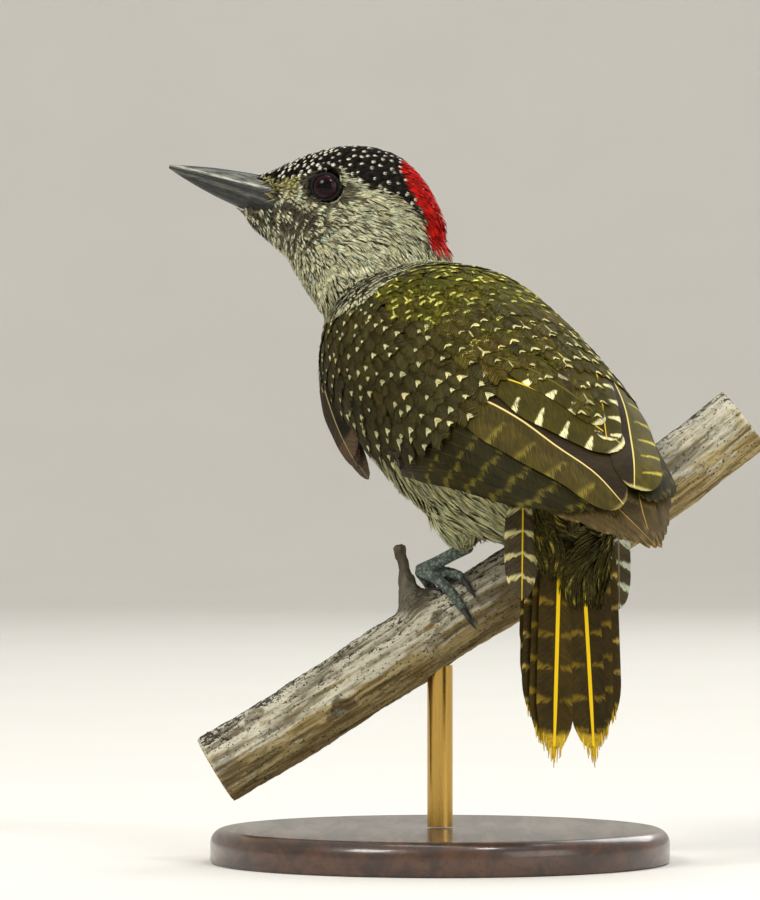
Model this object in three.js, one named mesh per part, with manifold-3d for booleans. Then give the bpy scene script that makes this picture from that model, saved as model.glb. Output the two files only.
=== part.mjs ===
// A female golden-tailed woodpecker, life size, looking back over its left shoulder from a cut length of branch,
// which one rod holds over a flat round base. Millimetres, +Z up, origin at the centre of the base's underside.
// The bird faces away and to the left (+Y, -X), and its tail hangs down behind the branch towards -Y.
import * as THREE from 'three';
import { mergeVertices } from 'three/addons/utils/BufferGeometryUtils.js';
import Module from 'manifold-3d';

const wasm = await Module();
wasm.setup();

// ---------------------------------------------------------------- driving dimensions
const GAP = 0.3; // clearance between pieces that touch
const FACET_TOLERANCE = 0.08; // flat enough for a facet to be dropped
const DEG = Math.PI / 180;

const BASE_RADIUS = 54;
const BASE_HEIGHT = 8;
const BASE_EDGE = 1.6; // rounding of the base's rims
const ROD_RADIUS = 3;

const BRANCH_RADIUS = 8.6;

const TRUNK_HEADING = 53; // degrees turned from -X towards +Y
const TRUNK_PITCH = 33; // degrees above level
const TRUNK_ROLL = 8; // degrees, left side down
const TAIL_ROOT = [29.6, -33, 85.5];

const HEAD_CENTRE = [-21.3, 27, 155.5];
const HEAD_HEADING = 6;
const HEAD_PITCH = 16.2;
const HEAD_ROLL = 0;

const TAIL_BEND = 50; // degrees that the tail drops below the line of the back
const TAIL_SWING = 11; // degrees to the left
const EYE_RADIUS = 4.0;

// ---------------------------------------------------------------- frames and shaping
// A right-handed set of forward, left and up directions at a point, like an aircraft's heading, pitch and roll.
class Frame {
  constructor(origin, heading, pitch, roll) {
    const h = heading * DEG;
    const p = pitch * DEG;
    const r = roll * DEG;
    this.origin = new THREE.Vector3(...origin);
    this.forward = new THREE.Vector3(-Math.cos(h) * Math.cos(p), Math.sin(h) * Math.cos(p), Math.sin(p));
    const level = new THREE.Vector3(-Math.sin(h), -Math.cos(h), 0);
    const upright = new THREE.Vector3().crossVectors(this.forward, level);
    this.left = level.clone().multiplyScalar(Math.cos(r)).addScaledVector(upright, -Math.sin(r));
    this.up = new THREE.Vector3().crossVectors(this.forward, this.left);
  }
  at(forward, left, up) {
    return this.origin
      .clone()
      .addScaledVector(this.forward, forward)
      .addScaledVector(this.left, left)
      .addScaledVector(this.up, up);
  }
  // The same frame moved to a point, turned down by `drop` and to the left by `swing` degrees.
  turned(point, drop, swing) {
    const made = Object.create(Frame.prototype);
    const back = this.forward.clone().negate();
    made.origin = point;
    const down = new THREE.Quaternion().setFromAxisAngle(this.left, -drop * DEG);
    const side = new THREE.Quaternion().setFromAxisAngle(this.up, -swing * DEG);
    const turn = down.multiply(side);
    made.forward = back.applyQuaternion(turn);
    made.left = this.left.clone().applyQuaternion(turn);
    made.up = this.up.clone().applyQuaternion(turn);
    return made;
  }
}

// A smooth curve through stations [x, value, value...], read at x for one column.
function through(stations, x, column = 1) {
  const last = stations.length - 1;
  if (x <= stations[0][0]) return stations[0][column];
  if (x >= stations[last][0]) return stations[last][column];
  let i = 0;
  while (x > stations[i + 1][0]) i += 1;
  const slope = (k) => {
    const a = stations[Math.max(k - 1, 0)];
    const b = stations[Math.min(k + 1, last)];
    return (b[column] - a[column]) / (b[0] - a[0]);
  };
  const span = stations[i + 1][0] - stations[i][0];
  const t = (x - stations[i][0]) / span;
  const rise = stations[i + 1][column] - stations[i][column];
  const start = slope(i) * span;
  const end = slope(i + 1) * span;
  return stations[i][column] + t * start
    + t * t * (3 * rise - 2 * start - end) + t * t * t * (start + end - 2 * rise);
}

// A closed surface through rings of equally many points, with a fan at each end.
function loft(rings) {
  const sides = rings[0].length;
  const points = rings.flat();
  const middle = (ring) => ring.reduce((sum, p) => sum.add(p), new THREE.Vector3()).divideScalar(sides);
  const first = points.push(middle(rings[0])) - 1;
  const last = points.push(middle(rings.at(-1))) - 1;
  const faces = [];
  for (let j = 0; j < sides; j += 1) {
    const k = (j + 1) % sides;
    faces.push(first, k, j);
    for (let i = 0; i + 1 < rings.length; i += 1) {
      const a = i * sides;
      const b = a + sides;
      faces.push(a + j, a + k, b + k, a + j, b + k, b + j);
    }
    const end = (rings.length - 1) * sides;
    faces.push(last, end + j, end + k);
  }
  const geometry = new THREE.BufferGeometry().setFromPoints(points);
  geometry.setIndex(faces);
  return geometry;
}

// A geometry as a manifold-3d solid, turned the right way out if its rings ran the other way.
function solid(geometry) {
  const bare = geometry.clone();
  bare.deleteAttribute('normal');
  bare.deleteAttribute('uv');
  const merged = mergeVertices(bare, 1e-4);
  const build = (triVerts) => new wasm.Manifold(new wasm.Mesh({
    numProp: 3,
    vertProperties: new Float32Array(merged.attributes.position.array),
    triVerts,
  }));
  const made = build(new Uint32Array(merged.index.array));
  if (made.volume() > 0) return made;
  const turned = new Uint32Array(merged.index.array);
  for (let i = 0; i < turned.length; i += 3) [turned[i + 1], turned[i + 2]] = [turned[i + 2], turned[i + 1]];
  return build(turned);
}

// The largest single body of a solid, once slivers left by a cut are dropped.
function largest(made) {
  return made.decompose().reduce((best, body) => (body.volume() > best.volume() ? body : best));
}

const bird = new THREE.Group();
const made = new Map(); // node name to manifold-3d solid

function add(name, body, colour, roughness = 0.7, metalness = 0) {
  const kept = largest(body).simplify(FACET_TOLERANCE);
  const { vertProperties, triVerts, numProp, numVert } = kept.getMesh();
  const position = new Float32Array(numVert * 3);
  for (let i = 0; i < numVert; i += 1) position.set(vertProperties.subarray(i * numProp, i * numProp + 3), i * 3);
  const geometry = new THREE.BufferGeometry();
  geometry.setAttribute('position', new THREE.BufferAttribute(position, 3));
  geometry.setIndex(new THREE.BufferAttribute(new Uint32Array(triVerts), 1));
  geometry.computeVertexNormals();
  const material = new THREE.MeshStandardMaterial({ color: colour, roughness, metalness });
  const mesh = new THREE.Mesh(geometry, material);
  mesh.name = name;
  bird.add(mesh);
  made.set(name, kept);
}

// Rings of a round tube that follows points, with a radius at each one.
function tube(points, radii, sides, steps) {
  const curve = new THREE.CatmullRomCurve3(points, false, 'centripetal');
  const frames = curve.computeFrenetFrames(steps, false);
  const rings = [];
  for (let i = 0; i <= steps; i += 1) {
    const t = i / steps;
    const at = curve.getPointAt(t);
    const radius = through(radii.map((r, k) => [k / (radii.length - 1), r]), t);
    rings.push(Array.from({ length: sides }, (_, j) => {
      const a = (j / sides) * 2 * Math.PI;
      return at.clone()
        .addScaledVector(frames.normals[i], radius * Math.cos(a))
        .addScaledVector(frames.binormals[i], radius * Math.sin(a));
    }));
  }
  return loft(rings);
}

// ---------------------------------------------------------------- trunk
const trunkFrame = new Frame(TAIL_ROOT, TRUNK_HEADING, TRUNK_PITCH, TRUNK_ROLL);
// Distance forward of the tail's root, half width, height above and depth below the axis, shift to the left.
const TRUNK = [
  [-9, 6, 6, 7, 0],
  [0, 12.5, 11, 12.5, 0],
  [12, 19.5, 18, 21, 0],
  [26, 23.6, 23, 27, 0],
  [42, 24.8, 25.2, 30, 0],
  [58, 22.6, 23.6, 30, 0.4],
  [72, 18, 17.6, 27, 1],
  [84, 12, 11, 20.5, 1.5],
  [93, 6, 6, 12, 1.5],
];
const TRUNK_SIDES = 26;

// A point on a body section: distance s, angle phi from the back towards the left, `out` beyond the section.
function bodyPoint(table, s, phi, out, sign = 1) {
  const half = through(table, s, 1) + out;
  const high = through(table, s, Math.cos(phi) > 0 ? 2 : 3) + out;
  return trunkFrame.at(s, sign * half * Math.sin(phi) + through(table, s, 4), high * Math.cos(phi));
}

function trunkShape(out) {
  const rings = [];
  const from = TRUNK[0][0] - out;
  const to = TRUNK.at(-1)[0] + out;
  const count = 14;
  for (let i = 0; i <= count; i += 1) {
    const s = from + ((to - from) * i) / count;
    rings.push(Array.from({ length: TRUNK_SIDES }, (_, j) =>
      bodyPoint(TRUNK, s, (j / TRUNK_SIDES) * 2 * Math.PI, out)));
  }
  return solid(loft(rings));
}

// ---------------------------------------------------------------- head
const headFrame = new Frame(HEAD_CENTRE, HEAD_HEADING, HEAD_PITCH, HEAD_ROLL);
// Distance forward of the head's centre, crown height, chin level and half width.
const HEAD = [
  [-24, 1.5, -7, 3.5],
  [-20, 6.5, -12, 8],
  [-15, 11.2, -14.5, 10.5],
  [-10, 13.9, -16.5, 12],
  [-5, 15, -18.5, 12.6],
  [0, 14.7, -19, 12.5],
  [4, 13.7, -18.6, 12],
  [8, 12, -17.6, 11.2],
  [12, 9.7, -16.2, 9.8],
  [16, 6.6, -14.3, 7.9],
  [20, 3, -12.2, 6],
  [24, 0.6, -9, 4.2],
];
const HEAD_SIDES = 22;

function headShape(out) {
  const rings = [];
  const from = HEAD[0][0] - out;
  const to = HEAD.at(-1)[0] + out;
  const count = 13;
  for (let i = 0; i <= count; i += 1) {
    const x = from + ((to - from) * i) / count;
    const top = through(HEAD, x, 1) + out;
    const bottom = through(HEAD, x, 2) - out;
    const half = through(HEAD, x, 3) + out;
    rings.push(Array.from({ length: HEAD_SIDES }, (_, j) => {
      const a = (j / HEAD_SIDES) * 2 * Math.PI;
      return headFrame.at(x, half * Math.sin(a), (top + bottom) / 2 + ((top - bottom) / 2) * Math.cos(a));
    }));
  }
  return solid(loft(rings));
}

// ---------------------------------------------------------------- perch
// The branch climbs to the right. A dead side stub stands on a swelling beside the left foot.
const BRANCH_WAY = [
  [-52.9, 0, 21.4], [-35.3, 0, 32], [-19.5, 0, 42.1], [-9.4, 0, 48.6], [5, 0, 58],
  [18.6, 0, 66.3], [37.6, 0, 78.7], [54.3, 0, 90.7], [61.8, 0, 96.3], [71.7, 0, 104.1],
].map((p) => new THREE.Vector3(...p));
const STUB_WAY = [[-3.2, 0.6, 56], [-6.4, 0.6, 61.6], [-8.6, 0.6, 69.6], [-9.7, 0.6, 74.6]];
const STUB_RADII = [5.6, 3.4, 1.6, 2.1];
const SWELLING = { at: [-2.6, 0, 57.8], size: [8.5, 7.6, 6.6] };
function branchShape(out) {
  const limb = solid(tube(BRANCH_WAY, [BRANCH_RADIUS + out, BRANCH_RADIUS + out], 16, 14));
  const stub = solid(tube(STUB_WAY.map((p) => new THREE.Vector3(...p)), STUB_RADII.map((r) => r + out), 10, 6));
  const swelling = new THREE.SphereGeometry(1, 14, 8)
    .scale(...SWELLING.size.map((r) => r + out))
    .rotateY(-32 * DEG)
    .translate(...SWELLING.at);
  return limb.add(stub).add(solid(swelling));
}
add('perch_branch', branchShape(0), 0x8a7f66);
const branchGrown = branchShape(GAP);

// ---------------------------------------------------------------- legs and feet
// A point beside the branch: distance along it, angle from its top towards the tail side, distance from its axis.
const perchAlong = new THREE.Vector3(0.843, 0, 0.538);
const perchUp = new THREE.Vector3(-0.538, 0, 0.843);
function perchPoint(along, angle, radius) {
  return new THREE.Vector3(0, 0, 54.8)
    .addScaledVector(perchAlong, along)
    .addScaledVector(perchUp, radius * Math.cos(angle * DEG))
    .add(new THREE.Vector3(0, -radius * Math.sin(angle * DEG), 0));
}
const TOE_RADIUS = 1.35;
// Two toes of each foot reach forward over the branch and two reach back. Each runs from the ankle through
// [distance along the branch, angle, distance from the axis].
const LEGS = {
  left: {
    thigh: [trunkFrame.at(28, 9, -14), trunkFrame.at(24, 11, -19), new THREE.Vector3(6.6, -11, 74.4)],
    ankle: [3.3, 4, 13.9],
    toes: {
      outer_back: [[5.6, 24, 11.4], [6.8, 54, 10.4], [7.2, 84, 10.3]],
      inner_back: [[7.6, 16, 11.6], [10.4, 36, 10.4], [11, 46, 10.3]],
      outer_front: [[3.4, -30, 11.4], [3.2, -58, 10.6], [3, -86, 10.3]],
      inner_front: [[7, -24, 11.6], [9, -48, 10.5], [9.4, -70, 10.3]],
    },
  },
  right: {
    thigh: [trunkFrame.at(30, -9, -14), trunkFrame.at(29, -11, -20), perchPoint(28, -33, 18)],
    ankle: [27, -42, 12.4],
    toes: {
      outer_back: [[30, -18, 11], [31, 14, 10.4], [31.4, 40, 10.3]],
      inner_back: [[25, -20, 11], [24, 4, 10.4], [23.6, 16, 10.3]],
      outer_front: [[29, -66, 11], [30, -92, 10.4], [30.4, -116, 10.3]],
      inner_front: [[25, -68, 11], [24, -88, 10.4], [23.6, -104, 10.3]],
    },
  },
};
const footSolids = [];
const thighs = {};
for (const [side, leg] of Object.entries(LEGS)) {
  const heel = leg.thigh.at(-1);
  const thigh = (out) => solid(tube(leg.thigh, [11 + out, 7.5 + out, 3 + out], 14, 5));
  thighs[side] = thigh;
  const ankle = perchPoint(...leg.ankle);
  const shank = (out) => solid(tube([heel, heel.clone().lerp(ankle, 0.5), ankle],
    [1.7 + out, 1.5 + out, 1.8 + out], 10, 3));
  add(`tarsus_${side}`, shank(0).subtract(thigh(GAP)).subtract(branchGrown), 0x5d6a60, 0.6);
  let taken = shank(GAP).add(branchGrown);
  footSolids.push(shank(GAP));
  for (const [toe, way] of Object.entries(leg.toes)) {
    const joints = [ankle, ...way.map((p) => perchPoint(...p))];
    const shape = (out) => solid(tube(joints, [1.5 + out, TOE_RADIUS + out, TOE_RADIUS + out, 1.1 + out], 8, 7));
    add(`toe_${side}_${toe}`, shape(0).subtract(taken), 0x5d6a60, 0.6);
    taken = taken.add(shape(GAP));
    footSolids.push(shape(GAP));
    const [along, angle, radius] = way.at(-1);
    const turn = Math.sign(angle - leg.ankle[1]);
    const claw = (out) => solid(tube([
      perchPoint(along, angle - turn * 1, radius - 0.1),
      perchPoint(along, angle + turn * 16, radius + 0.5),
      perchPoint(along, angle + turn * 32, radius - 0.9),
    ], [0.95 + out, 0.75 + out, 0.3 + out], 6, 5));
    add(`claw_${side}_${toe}`, claw(0).subtract(taken), 0x2a2824, 0.4);
    taken = taken.add(claw(GAP));
    footSolids.push(claw(GAP));
  }
}

// ---------------------------------------------------------------- body solids
// The belly settles round the branch and the toes, with the clearance kept.
const underneath = footSolids.reduce((sum, body) => sum.add(body), branchGrown);
const headGrown = headShape(GAP);
const trunkSolid = trunkShape(0).subtract(underneath).subtract(headGrown);
const trunkGrown = trunkShape(GAP);
for (const side of Object.keys(LEGS)) {
  add(`thigh_${side}`, thighs[side](0).subtract(trunkGrown).subtract(underneath), 0xa9a68c);
}

// ---------------------------------------------------------------- eyes
const EYE_AT = [5.5, 8.0, 2.3];
const eyes = { left: 1, right: -1 };
let headSolid = headShape(0);
for (const [side, sign] of Object.entries(eyes)) {
  const centre = headFrame.at(EYE_AT[0], sign * EYE_AT[1], EYE_AT[2]);
  const ball = (r) => solid(new THREE.SphereGeometry(r, 16, 10).translate(...centre));
  headSolid = headSolid.subtract(ball(EYE_RADIUS + GAP));
  add(`eye_${side}`, ball(EYE_RADIUS), 0x1a0c0a, 0.1);
}
add('head', headSolid, 0xb9b79f);
add('trunk', trunkSolid, 0x5a5a1e);

// ---------------------------------------------------------------- neck
// Level rings from the shoulders into the head: height, centre across and away, half widths across and away.
const NECK = [
  [124, -6, 18, 18, 20],
  [131, -11, 22, 18.5, 20],
  [138, -14.8, 25, 19, 18.5],
  [145, -17.6, 26.5, 20.2, 17],
  [151, -19.4, 27, 18, 14.5],
  [157, -20, 27, 13, 11],
];
function neckShape(out) {
  const rings = Array.from({ length: 7 }, (_, i) => {
    const z = NECK[0][0] - out + ((NECK.at(-1)[0] - NECK[0][0] + 2 * out) * i) / 6;
    const [x, y, wide, deep] = [1, 2, 3, 4].map((column) => through(NECK, z, column));
    return Array.from({ length: 20 }, (_, j) => {
      const a = (j / 20) * 2 * Math.PI;
      return new THREE.Vector3(x + (wide + out) * Math.cos(a), y + (deep + out) * Math.sin(a), z);
    });
  });
  return solid(loft(rings));
}
add('neck', neckShape(0).subtract(trunkGrown).subtract(headGrown), 0xc9c8b4);

// ---------------------------------------------------------------- bill
// Distance forward of the head's centre, ridge height above and keel depth below the gape line, half width.
const BILL = [
  [19, 3.9, 5.6, 5.4],
  [23, 3.7, 5.4, 4.4],
  [28, 3.2, 4.8, 3.4],
  [34, 2.4, 3.6, 2.4],
  [40.4, 1.2, 1.9, 1.4],
  [44.6, 0.35, 0.6, 0.7],
];
const GAPE = -3;
function mandible(column, sign) {
  const rings = [];
  for (let i = 0; i <= 10; i += 1) {
    const x = BILL[0][0] + ((BILL.at(-1)[0] - BILL[0][0]) * i) / 10;
    const tall = through(BILL, x, column);
    const half = through(BILL, x, 3);
    rings.push(Array.from({ length: 14 }, (_, j) => {
      const a = (j / 13) * Math.PI;
      return headFrame.at(x, half * Math.cos(a), GAPE + sign * (GAP / 2 + tall * Math.abs(Math.sin(a)) ** 0.8));
    }));
  }
  return solid(loft(rings)).subtract(headGrown);
}
add('bill_upper', mandible(1, 1), 0x3c3f3e, 0.35);
add('bill_lower', mandible(2, -1), 0x4a4c49, 0.35);

// ---------------------------------------------------------------- wings
// The outer surface of the folded wings, which wrap the trunk and run on past it as a cape over the rump.
const WING = [
  [-33, 16.4, 12, 14, 0.5],
  [-22, 21.3, 14.6, 17, 0.5],
  [-13, 24.9, 17.6, 20, 0.5],
  [-2, 28, 19.4, 22, 0.5],
  [8, 29.5, 22.6, 24, 0.4],
  [19, 29.7, 25.4, 27, 0.3],
  [32, 29.2, 27, 30, 0],
  [46, 28.9, 27, 31, 0],
  [60, 27.4, 25.4, 30.5, 0.2],
  [74, 22.9, 18.8, 27, 1.1],
  [86, 12.9, 11.8, 20.5, 1.3],
  [93, 8.2, 8, 15, 1.4],
];
// Each patch: how deep it lies in the wing, and stations of distance, upper angle and lower angle.
const PATCHES = {
  primaries: { depth: [3.7, 2.9], colour: 0x4a3a26,
    way: [[-33, 3, 15], [-28, 4, 27], [-20, 8, 44], [-10, 14, 60], [0, 24, 73], [10, 34, 85], [20, 44, 96],
      [30, 54, 104], [37, 62, 108]] },
  secondaries: { depth: [2.15, 1.55], colour: 0x4a4226,
    way: [[-21, 6, 24], [-16, 6, 36], [-8, 8, 52], [0, 10, 66], [10, 16, 80], [20, 24, 92], [30, 30, 101],
      [43, 38, 107]] },
  tertials: { depth: [0.7, 0.1], colour: 0x5a5316,
    way: [[-20, 6, 13], [-12, 2, 26], [-4, 2, 38], [6, 4, 50], [16, 8, 58], [28, 14, 66], [43, 22, 74]] },
  coverts: { depth: [2.6, 0], colour: 0x4b4620,
    way: [[44, 24, 110], [54, 26, 119], [64, 30, 125], [74, 38, 126], [82, 48, 118], [89, 66, 100]] },
  alula: { depth: [-0.3, -1.2], colour: 0x33281c,
    way: [[48, 127, 132], [52, 122, 138], [60, 114, 140], [68, 110, 136], [76, 108, 126]] },
};
const WING_STATIONS = Array.from({ length: 17 }, (_, i) => -30 + 7.5 * i);
function wingPatch(patch, sign) {
  const rings = [];
  const across = 7;
  const [inner, outer] = patch.depth;
  const first = patch.way[0][0];
  const last = patch.way.at(-1)[0];
  // Stations shared by every layer keep their facets parallel.
  const inside = WING_STATIONS.filter((s) => s > first + 2 && s < last - 2);
  for (const s of [first, ...inside, last]) {
    const upper = through(patch.way, s, 1) * DEG;
    const lower = through(patch.way, s, 2) * DEG;
    const phi = (j) => upper + ((lower - upper) * j) / across;
    const top = Array.from({ length: across + 1 }, (_, j) => bodyPoint(WING, s, phi(j), -outer, sign));
    const under = Array.from({ length: across + 1 }, (_, j) =>
      bodyPoint(WING, s, phi(across - j), -inner, sign));
    rings.push([...top, ...under]);
  }
  return solid(loft(rings));
}
const inward = trunkGrown.add(neckShape(GAP)).add(headGrown);
for (const [side, sign] of Object.entries({ left: 1, right: -1 })) {
  for (const [part, patch] of Object.entries(PATCHES)) {
    add(`wing_${side}_${part}`, wingPatch(patch, sign).subtract(inward), patch.colour);
  }
}

// ---------------------------------------------------------------- rump and tail
const tailFrame = trunkFrame.turned(trunkFrame.at(0, 0, 0), TAIL_BEND, TAIL_SWING);
// The soft coverts around the tail's root: distance down the tail, half width, rise above and depth below it.
const RUMP = [
  [-6, 10, 8, 9],
  [4, 12, 7, 9],
  [12, 12, 4.5, 7],
  [20, 10.5, 2.2, 4],
  [26, 8, 1.2, 2.2],
];
function rumpShape(out) {
  const rings = [];
  for (let i = 0; i <= 8; i += 1) {
    const x = RUMP[0][0] - out + ((RUMP.at(-1)[0] - RUMP[0][0] + 2 * out) * i) / 8;
    rings.push(Array.from({ length: 20 }, (_, j) => {
      const a = (j / 20) * 2 * Math.PI;
      const tall = through(RUMP, x, Math.cos(a) > 0 ? 2 : 3) + out;
      return tailFrame.at(x, (through(RUMP, x, 1) + out) * Math.sin(a), tall * Math.cos(a) - 1);
    }));
  }
  return solid(loft(rings));
}
const rumpGrown = rumpShape(GAP);
add('rump', rumpShape(0).subtract(trunkGrown), 0x4d4a1c);

// Tail feathers from the middle outwards: length, offset of the shaft, splay in degrees, width and layer down
// from the top. The tail is carried a little to the right, and the short outermost left feather lies on top.
const RECTRICES = {
  left: [
    [62.5, 2.8, 1.9, 7.6, 0],
    [58, 4.6, 2.2, 8.4, 1],
    [52, 6, 2.4, 8.4, 2],
    [46, 6.3, 2.2, 8, 3],
    [38, 5.8, 3, 7.6, 4],
    [24.5, 14, 0.5, 9, -1.1],
  ],
  right: [
    [62, 4.2, 1, 7.6, 0],
    [57, 7, 1.5, 8.6, 1],
    [52, 9.5, 2.2, 8.6, 2],
    [46, 10.4, 2, 8.2, 3],
    [38, 10.8, 2.5, 7.6, 4],
    [24, 16.4, 1, 7.2, 5],
  ],
};
const VANE_THICKNESS = 0.7;
const VANE_STEP = 1.05; // from one layer to the next
function tailVane([length, offset, splay, width, layer], sign) {
  const angle = sign * splay * DEG;
  const rings = [];
  for (let i = 0; i <= 10; i += 1) {
    const t = i / 10;
    const taper = Math.sqrt(Math.max(0.04, 1 - (Math.max(0, t - 0.7) / 0.3) ** 2));
    const half = (width / 2) * Math.min(1, 0.45 + 2 * t) * taper;
    const corner = (v, up) => tailFrame.at(
      length * t * Math.cos(angle) - v * Math.sin(angle),
      sign * offset + length * t * Math.sin(angle) + v * Math.cos(angle),
      up - layer * VANE_STEP,
    );
    const ridge = 0.2;
    rings.push([corner(-half, 0), corner(0, ridge), corner(half, 0),
      corner(half, -VANE_THICKNESS), corner(0, ridge - VANE_THICKNESS), corner(-half, -VANE_THICKNESS)]);
  }
  return solid(loft(rings));
}
for (const [side, sign] of Object.entries({ left: 1, right: -1 })) {
  RECTRICES[side].forEach((row, k) => {
    const feather = tailVane(row, sign).subtract(trunkGrown).subtract(rumpGrown);
    add(`tail_${side}_${k + 1}`, feather, 0x4a3710);
  });
}

// ---------------------------------------------------------------- stand
const base = new THREE.LatheGeometry([
  [0, 0], [BASE_RADIUS - BASE_EDGE, 0], [BASE_RADIUS, BASE_EDGE],
  [BASE_RADIUS, BASE_HEIGHT - BASE_EDGE], [BASE_RADIUS - BASE_EDGE, BASE_HEIGHT], [0, BASE_HEIGHT],
].map((p) => new THREE.Vector2(...p)), 40).rotateX(Math.PI / 2);
add('stand_base', solid(base), 0x2b2118, 0.4);
const rodTop = 56;
const rod = new THREE.CylinderGeometry(ROD_RADIUS, ROD_RADIUS, rodTop - BASE_HEIGHT - GAP, 20)
  .rotateX(Math.PI / 2).translate(0, 0, (rodTop + BASE_HEIGHT + GAP) / 2);
add('stand_rod', solid(rod).subtract(branchGrown), 0xb0a070, 0.3, 1);

export default bird;
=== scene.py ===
"""A female golden-tailed woodpecker, dressed for a museum case on its CAD frame: a feathered skin over a
manikin, horn bill and claws, glass eyes, a weathered branch, a brass rod and a turned foot."""
import math

import bmesh
import bpy
import numpy as np
from mathutils import Matrix, Vector, noise
from mathutils.bvhtree import BVHTree


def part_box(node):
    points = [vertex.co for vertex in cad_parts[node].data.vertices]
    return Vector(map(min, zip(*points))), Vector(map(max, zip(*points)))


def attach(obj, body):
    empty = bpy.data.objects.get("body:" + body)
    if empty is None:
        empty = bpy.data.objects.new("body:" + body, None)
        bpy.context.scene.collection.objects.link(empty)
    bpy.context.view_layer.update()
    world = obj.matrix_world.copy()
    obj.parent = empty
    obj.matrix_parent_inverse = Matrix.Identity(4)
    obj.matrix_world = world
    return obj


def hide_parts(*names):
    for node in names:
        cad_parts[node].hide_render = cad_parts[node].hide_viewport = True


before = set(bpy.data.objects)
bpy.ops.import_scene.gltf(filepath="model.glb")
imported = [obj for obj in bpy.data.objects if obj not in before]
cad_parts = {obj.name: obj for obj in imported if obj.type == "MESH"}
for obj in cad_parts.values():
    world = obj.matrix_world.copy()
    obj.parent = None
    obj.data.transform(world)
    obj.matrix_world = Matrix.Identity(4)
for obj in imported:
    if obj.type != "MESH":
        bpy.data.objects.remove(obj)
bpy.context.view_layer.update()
bpy.ops.object.select_all(action="DESELECT")

# ==================================================================== camera
# A long lens, level, at about the height of the bird's middle. It looks straight along Y, so the branch rises
# to the right across the frame.
CAMERA_PLACE = (-0.0141, -1.4, 0.0968)
CAMERA_LENS = 238.3

bpy.ops.object.camera_add(location=CAMERA_PLACE, rotation=(math.radians(90), 0, 0))
camera = bpy.context.object
camera.name = "camera"
camera.data.lens = CAMERA_LENS
camera.data.sensor_width = 36
bpy.context.scene.camera = camera
bpy.context.scene.view_settings.view_transform = "Standard"

# ==================================================================== studio
# A round pale floor that sweeps up into a wall on all sides, and soft boxes above it. The key light comes
# from the front left, and a small one puts a catch light in the eye.
FLOOR_RADIUS = 2.3
SWEEP_RADIUS = 0.9
WALL_HEIGHT = 3.4


def paint(red, green, blue):
    """A colour from its everyday 0-255 values."""
    parts = [part / 255 for part in (red, green, blue)]
    return tuple(p / 12.92 if p <= 0.04045 else ((p + 0.055) / 1.055) ** 2.4 for p in parts)


class Wire:
    """What a node gives out. Arithmetic with it adds maths nodes to its finish."""

    def __init__(self, finish, socket):
        self.finish = finish
        self.socket = socket

    def __add__(self, other):
        return self.finish.math("ADD", self, other)

    def __sub__(self, other):
        return self.finish.math("SUBTRACT", self, other)

    def __rsub__(self, other):
        return self.finish.math("SUBTRACT", other, self)

    def __mul__(self, other):
        return self.finish.math("MULTIPLY", self, other)

    def __truediv__(self, other):
        return self.finish.math("DIVIDE", self, other)

    def __abs__(self):
        return self.finish.math("ABSOLUTE", self)


class Finish:
    """A surface finish, built up node by node."""

    def __init__(self, name, **sockets):
        self.material = bpy.data.materials.new(name)
        self.material.use_nodes = True
        self.tree = self.material.node_tree
        self.shader = self.tree.nodes["Principled BSDF"]
        for socket, value in sockets.items():
            self.set(socket.replace("_", " "), value)

    def put(self, socket, value):
        if isinstance(value, Wire):
            self.tree.links.new(value.socket, socket)
        elif isinstance(value, tuple) and socket.type == "RGBA":
            socket.default_value = (*value, 1.0)
        else:
            socket.default_value = value

    def set(self, socket, value):
        self.put(self.shader.inputs[socket], value)

    def node(self, kind, output, inputs, **settings):
        """Adds a node with these inputs, and hands back one of its outputs."""
        made = self.tree.nodes.new("ShaderNode" + kind)
        for name, value in settings.items():
            setattr(made, name, value)
        for socket, value in inputs.items():
            self.put(made.inputs[socket], value)
        return Wire(self, made.outputs[output])

    def math(self, operation, *values):
        return self.node("Math", 0, dict(enumerate(values)), operation=operation)

    def larger(self, first, second):
        return self.math("MAXIMUM", first, second)

    def step(self, value, low, high, start=0.0, end=1.0):
        """Goes smoothly from start to end while the value goes from low to high."""
        inputs = dict(enumerate((value, low, high, start, end)))
        return self.node("MapRange", 0, inputs, interpolation_type="SMOOTHSTEP")

    def blend(self, amount, first, second, way="MIX"):
        return self.node("Mix", 2, {0: amount, 6: first, 7: second}, data_type="RGBA", blend_type=way)

    def over(self, colour, top, *going):
        """The colour with another laid over it, by a step of going."""
        return self.blend(self.step(*going), colour, top)

    def shaded(self, colour, level):
        return self.blend(1.0, colour, self.join(level, level, level), "MULTIPLY")

    def noise(self, vector, scale=1.0, detail=3.0, roughness=0.55, distortion=0.0):
        return self.node("TexNoise", "Fac", {"Vector": vector, "Scale": scale, "Detail": detail,
                                             "Roughness": roughness, "Distortion": distortion})

    def cells(self, vector, scale=1.0):
        return self.node("TexVoronoi", "Distance", {"Vector": vector, "Scale": scale})

    def place(self):
        return self.node("TexCoord", "Object", {})

    def stretched(self, vector, scale):
        return self.node("Mapping", 0, {"Vector": vector, "Scale": scale})

    def read(self, attribute, output="Color"):
        return self.node("Attribute", output, {}, attribute_name=attribute)

    def map(self, name):
        return self.node("UVMap", 0, {}, uv_map=name)

    def parts(self, vector):
        split = self.node("SeparateXYZ", 0, {0: vector}).socket.node
        return [Wire(self, socket) for socket in split.outputs]

    def join(self, x, y, z):
        return self.node("CombineXYZ", 0, {0: x, 1: y, 2: z})

    def relief(self, height, strength, distance):
        inputs = {"Strength": strength, "Distance": distance, "Height": height}
        self.set("Normal", self.node("Bump", 0, inputs))


def placed(name, mesh):
    """A new object of the mesh."""
    made = bpy.data.objects.new(name, mesh)
    bpy.context.collection.objects.link(made)
    return made


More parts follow.
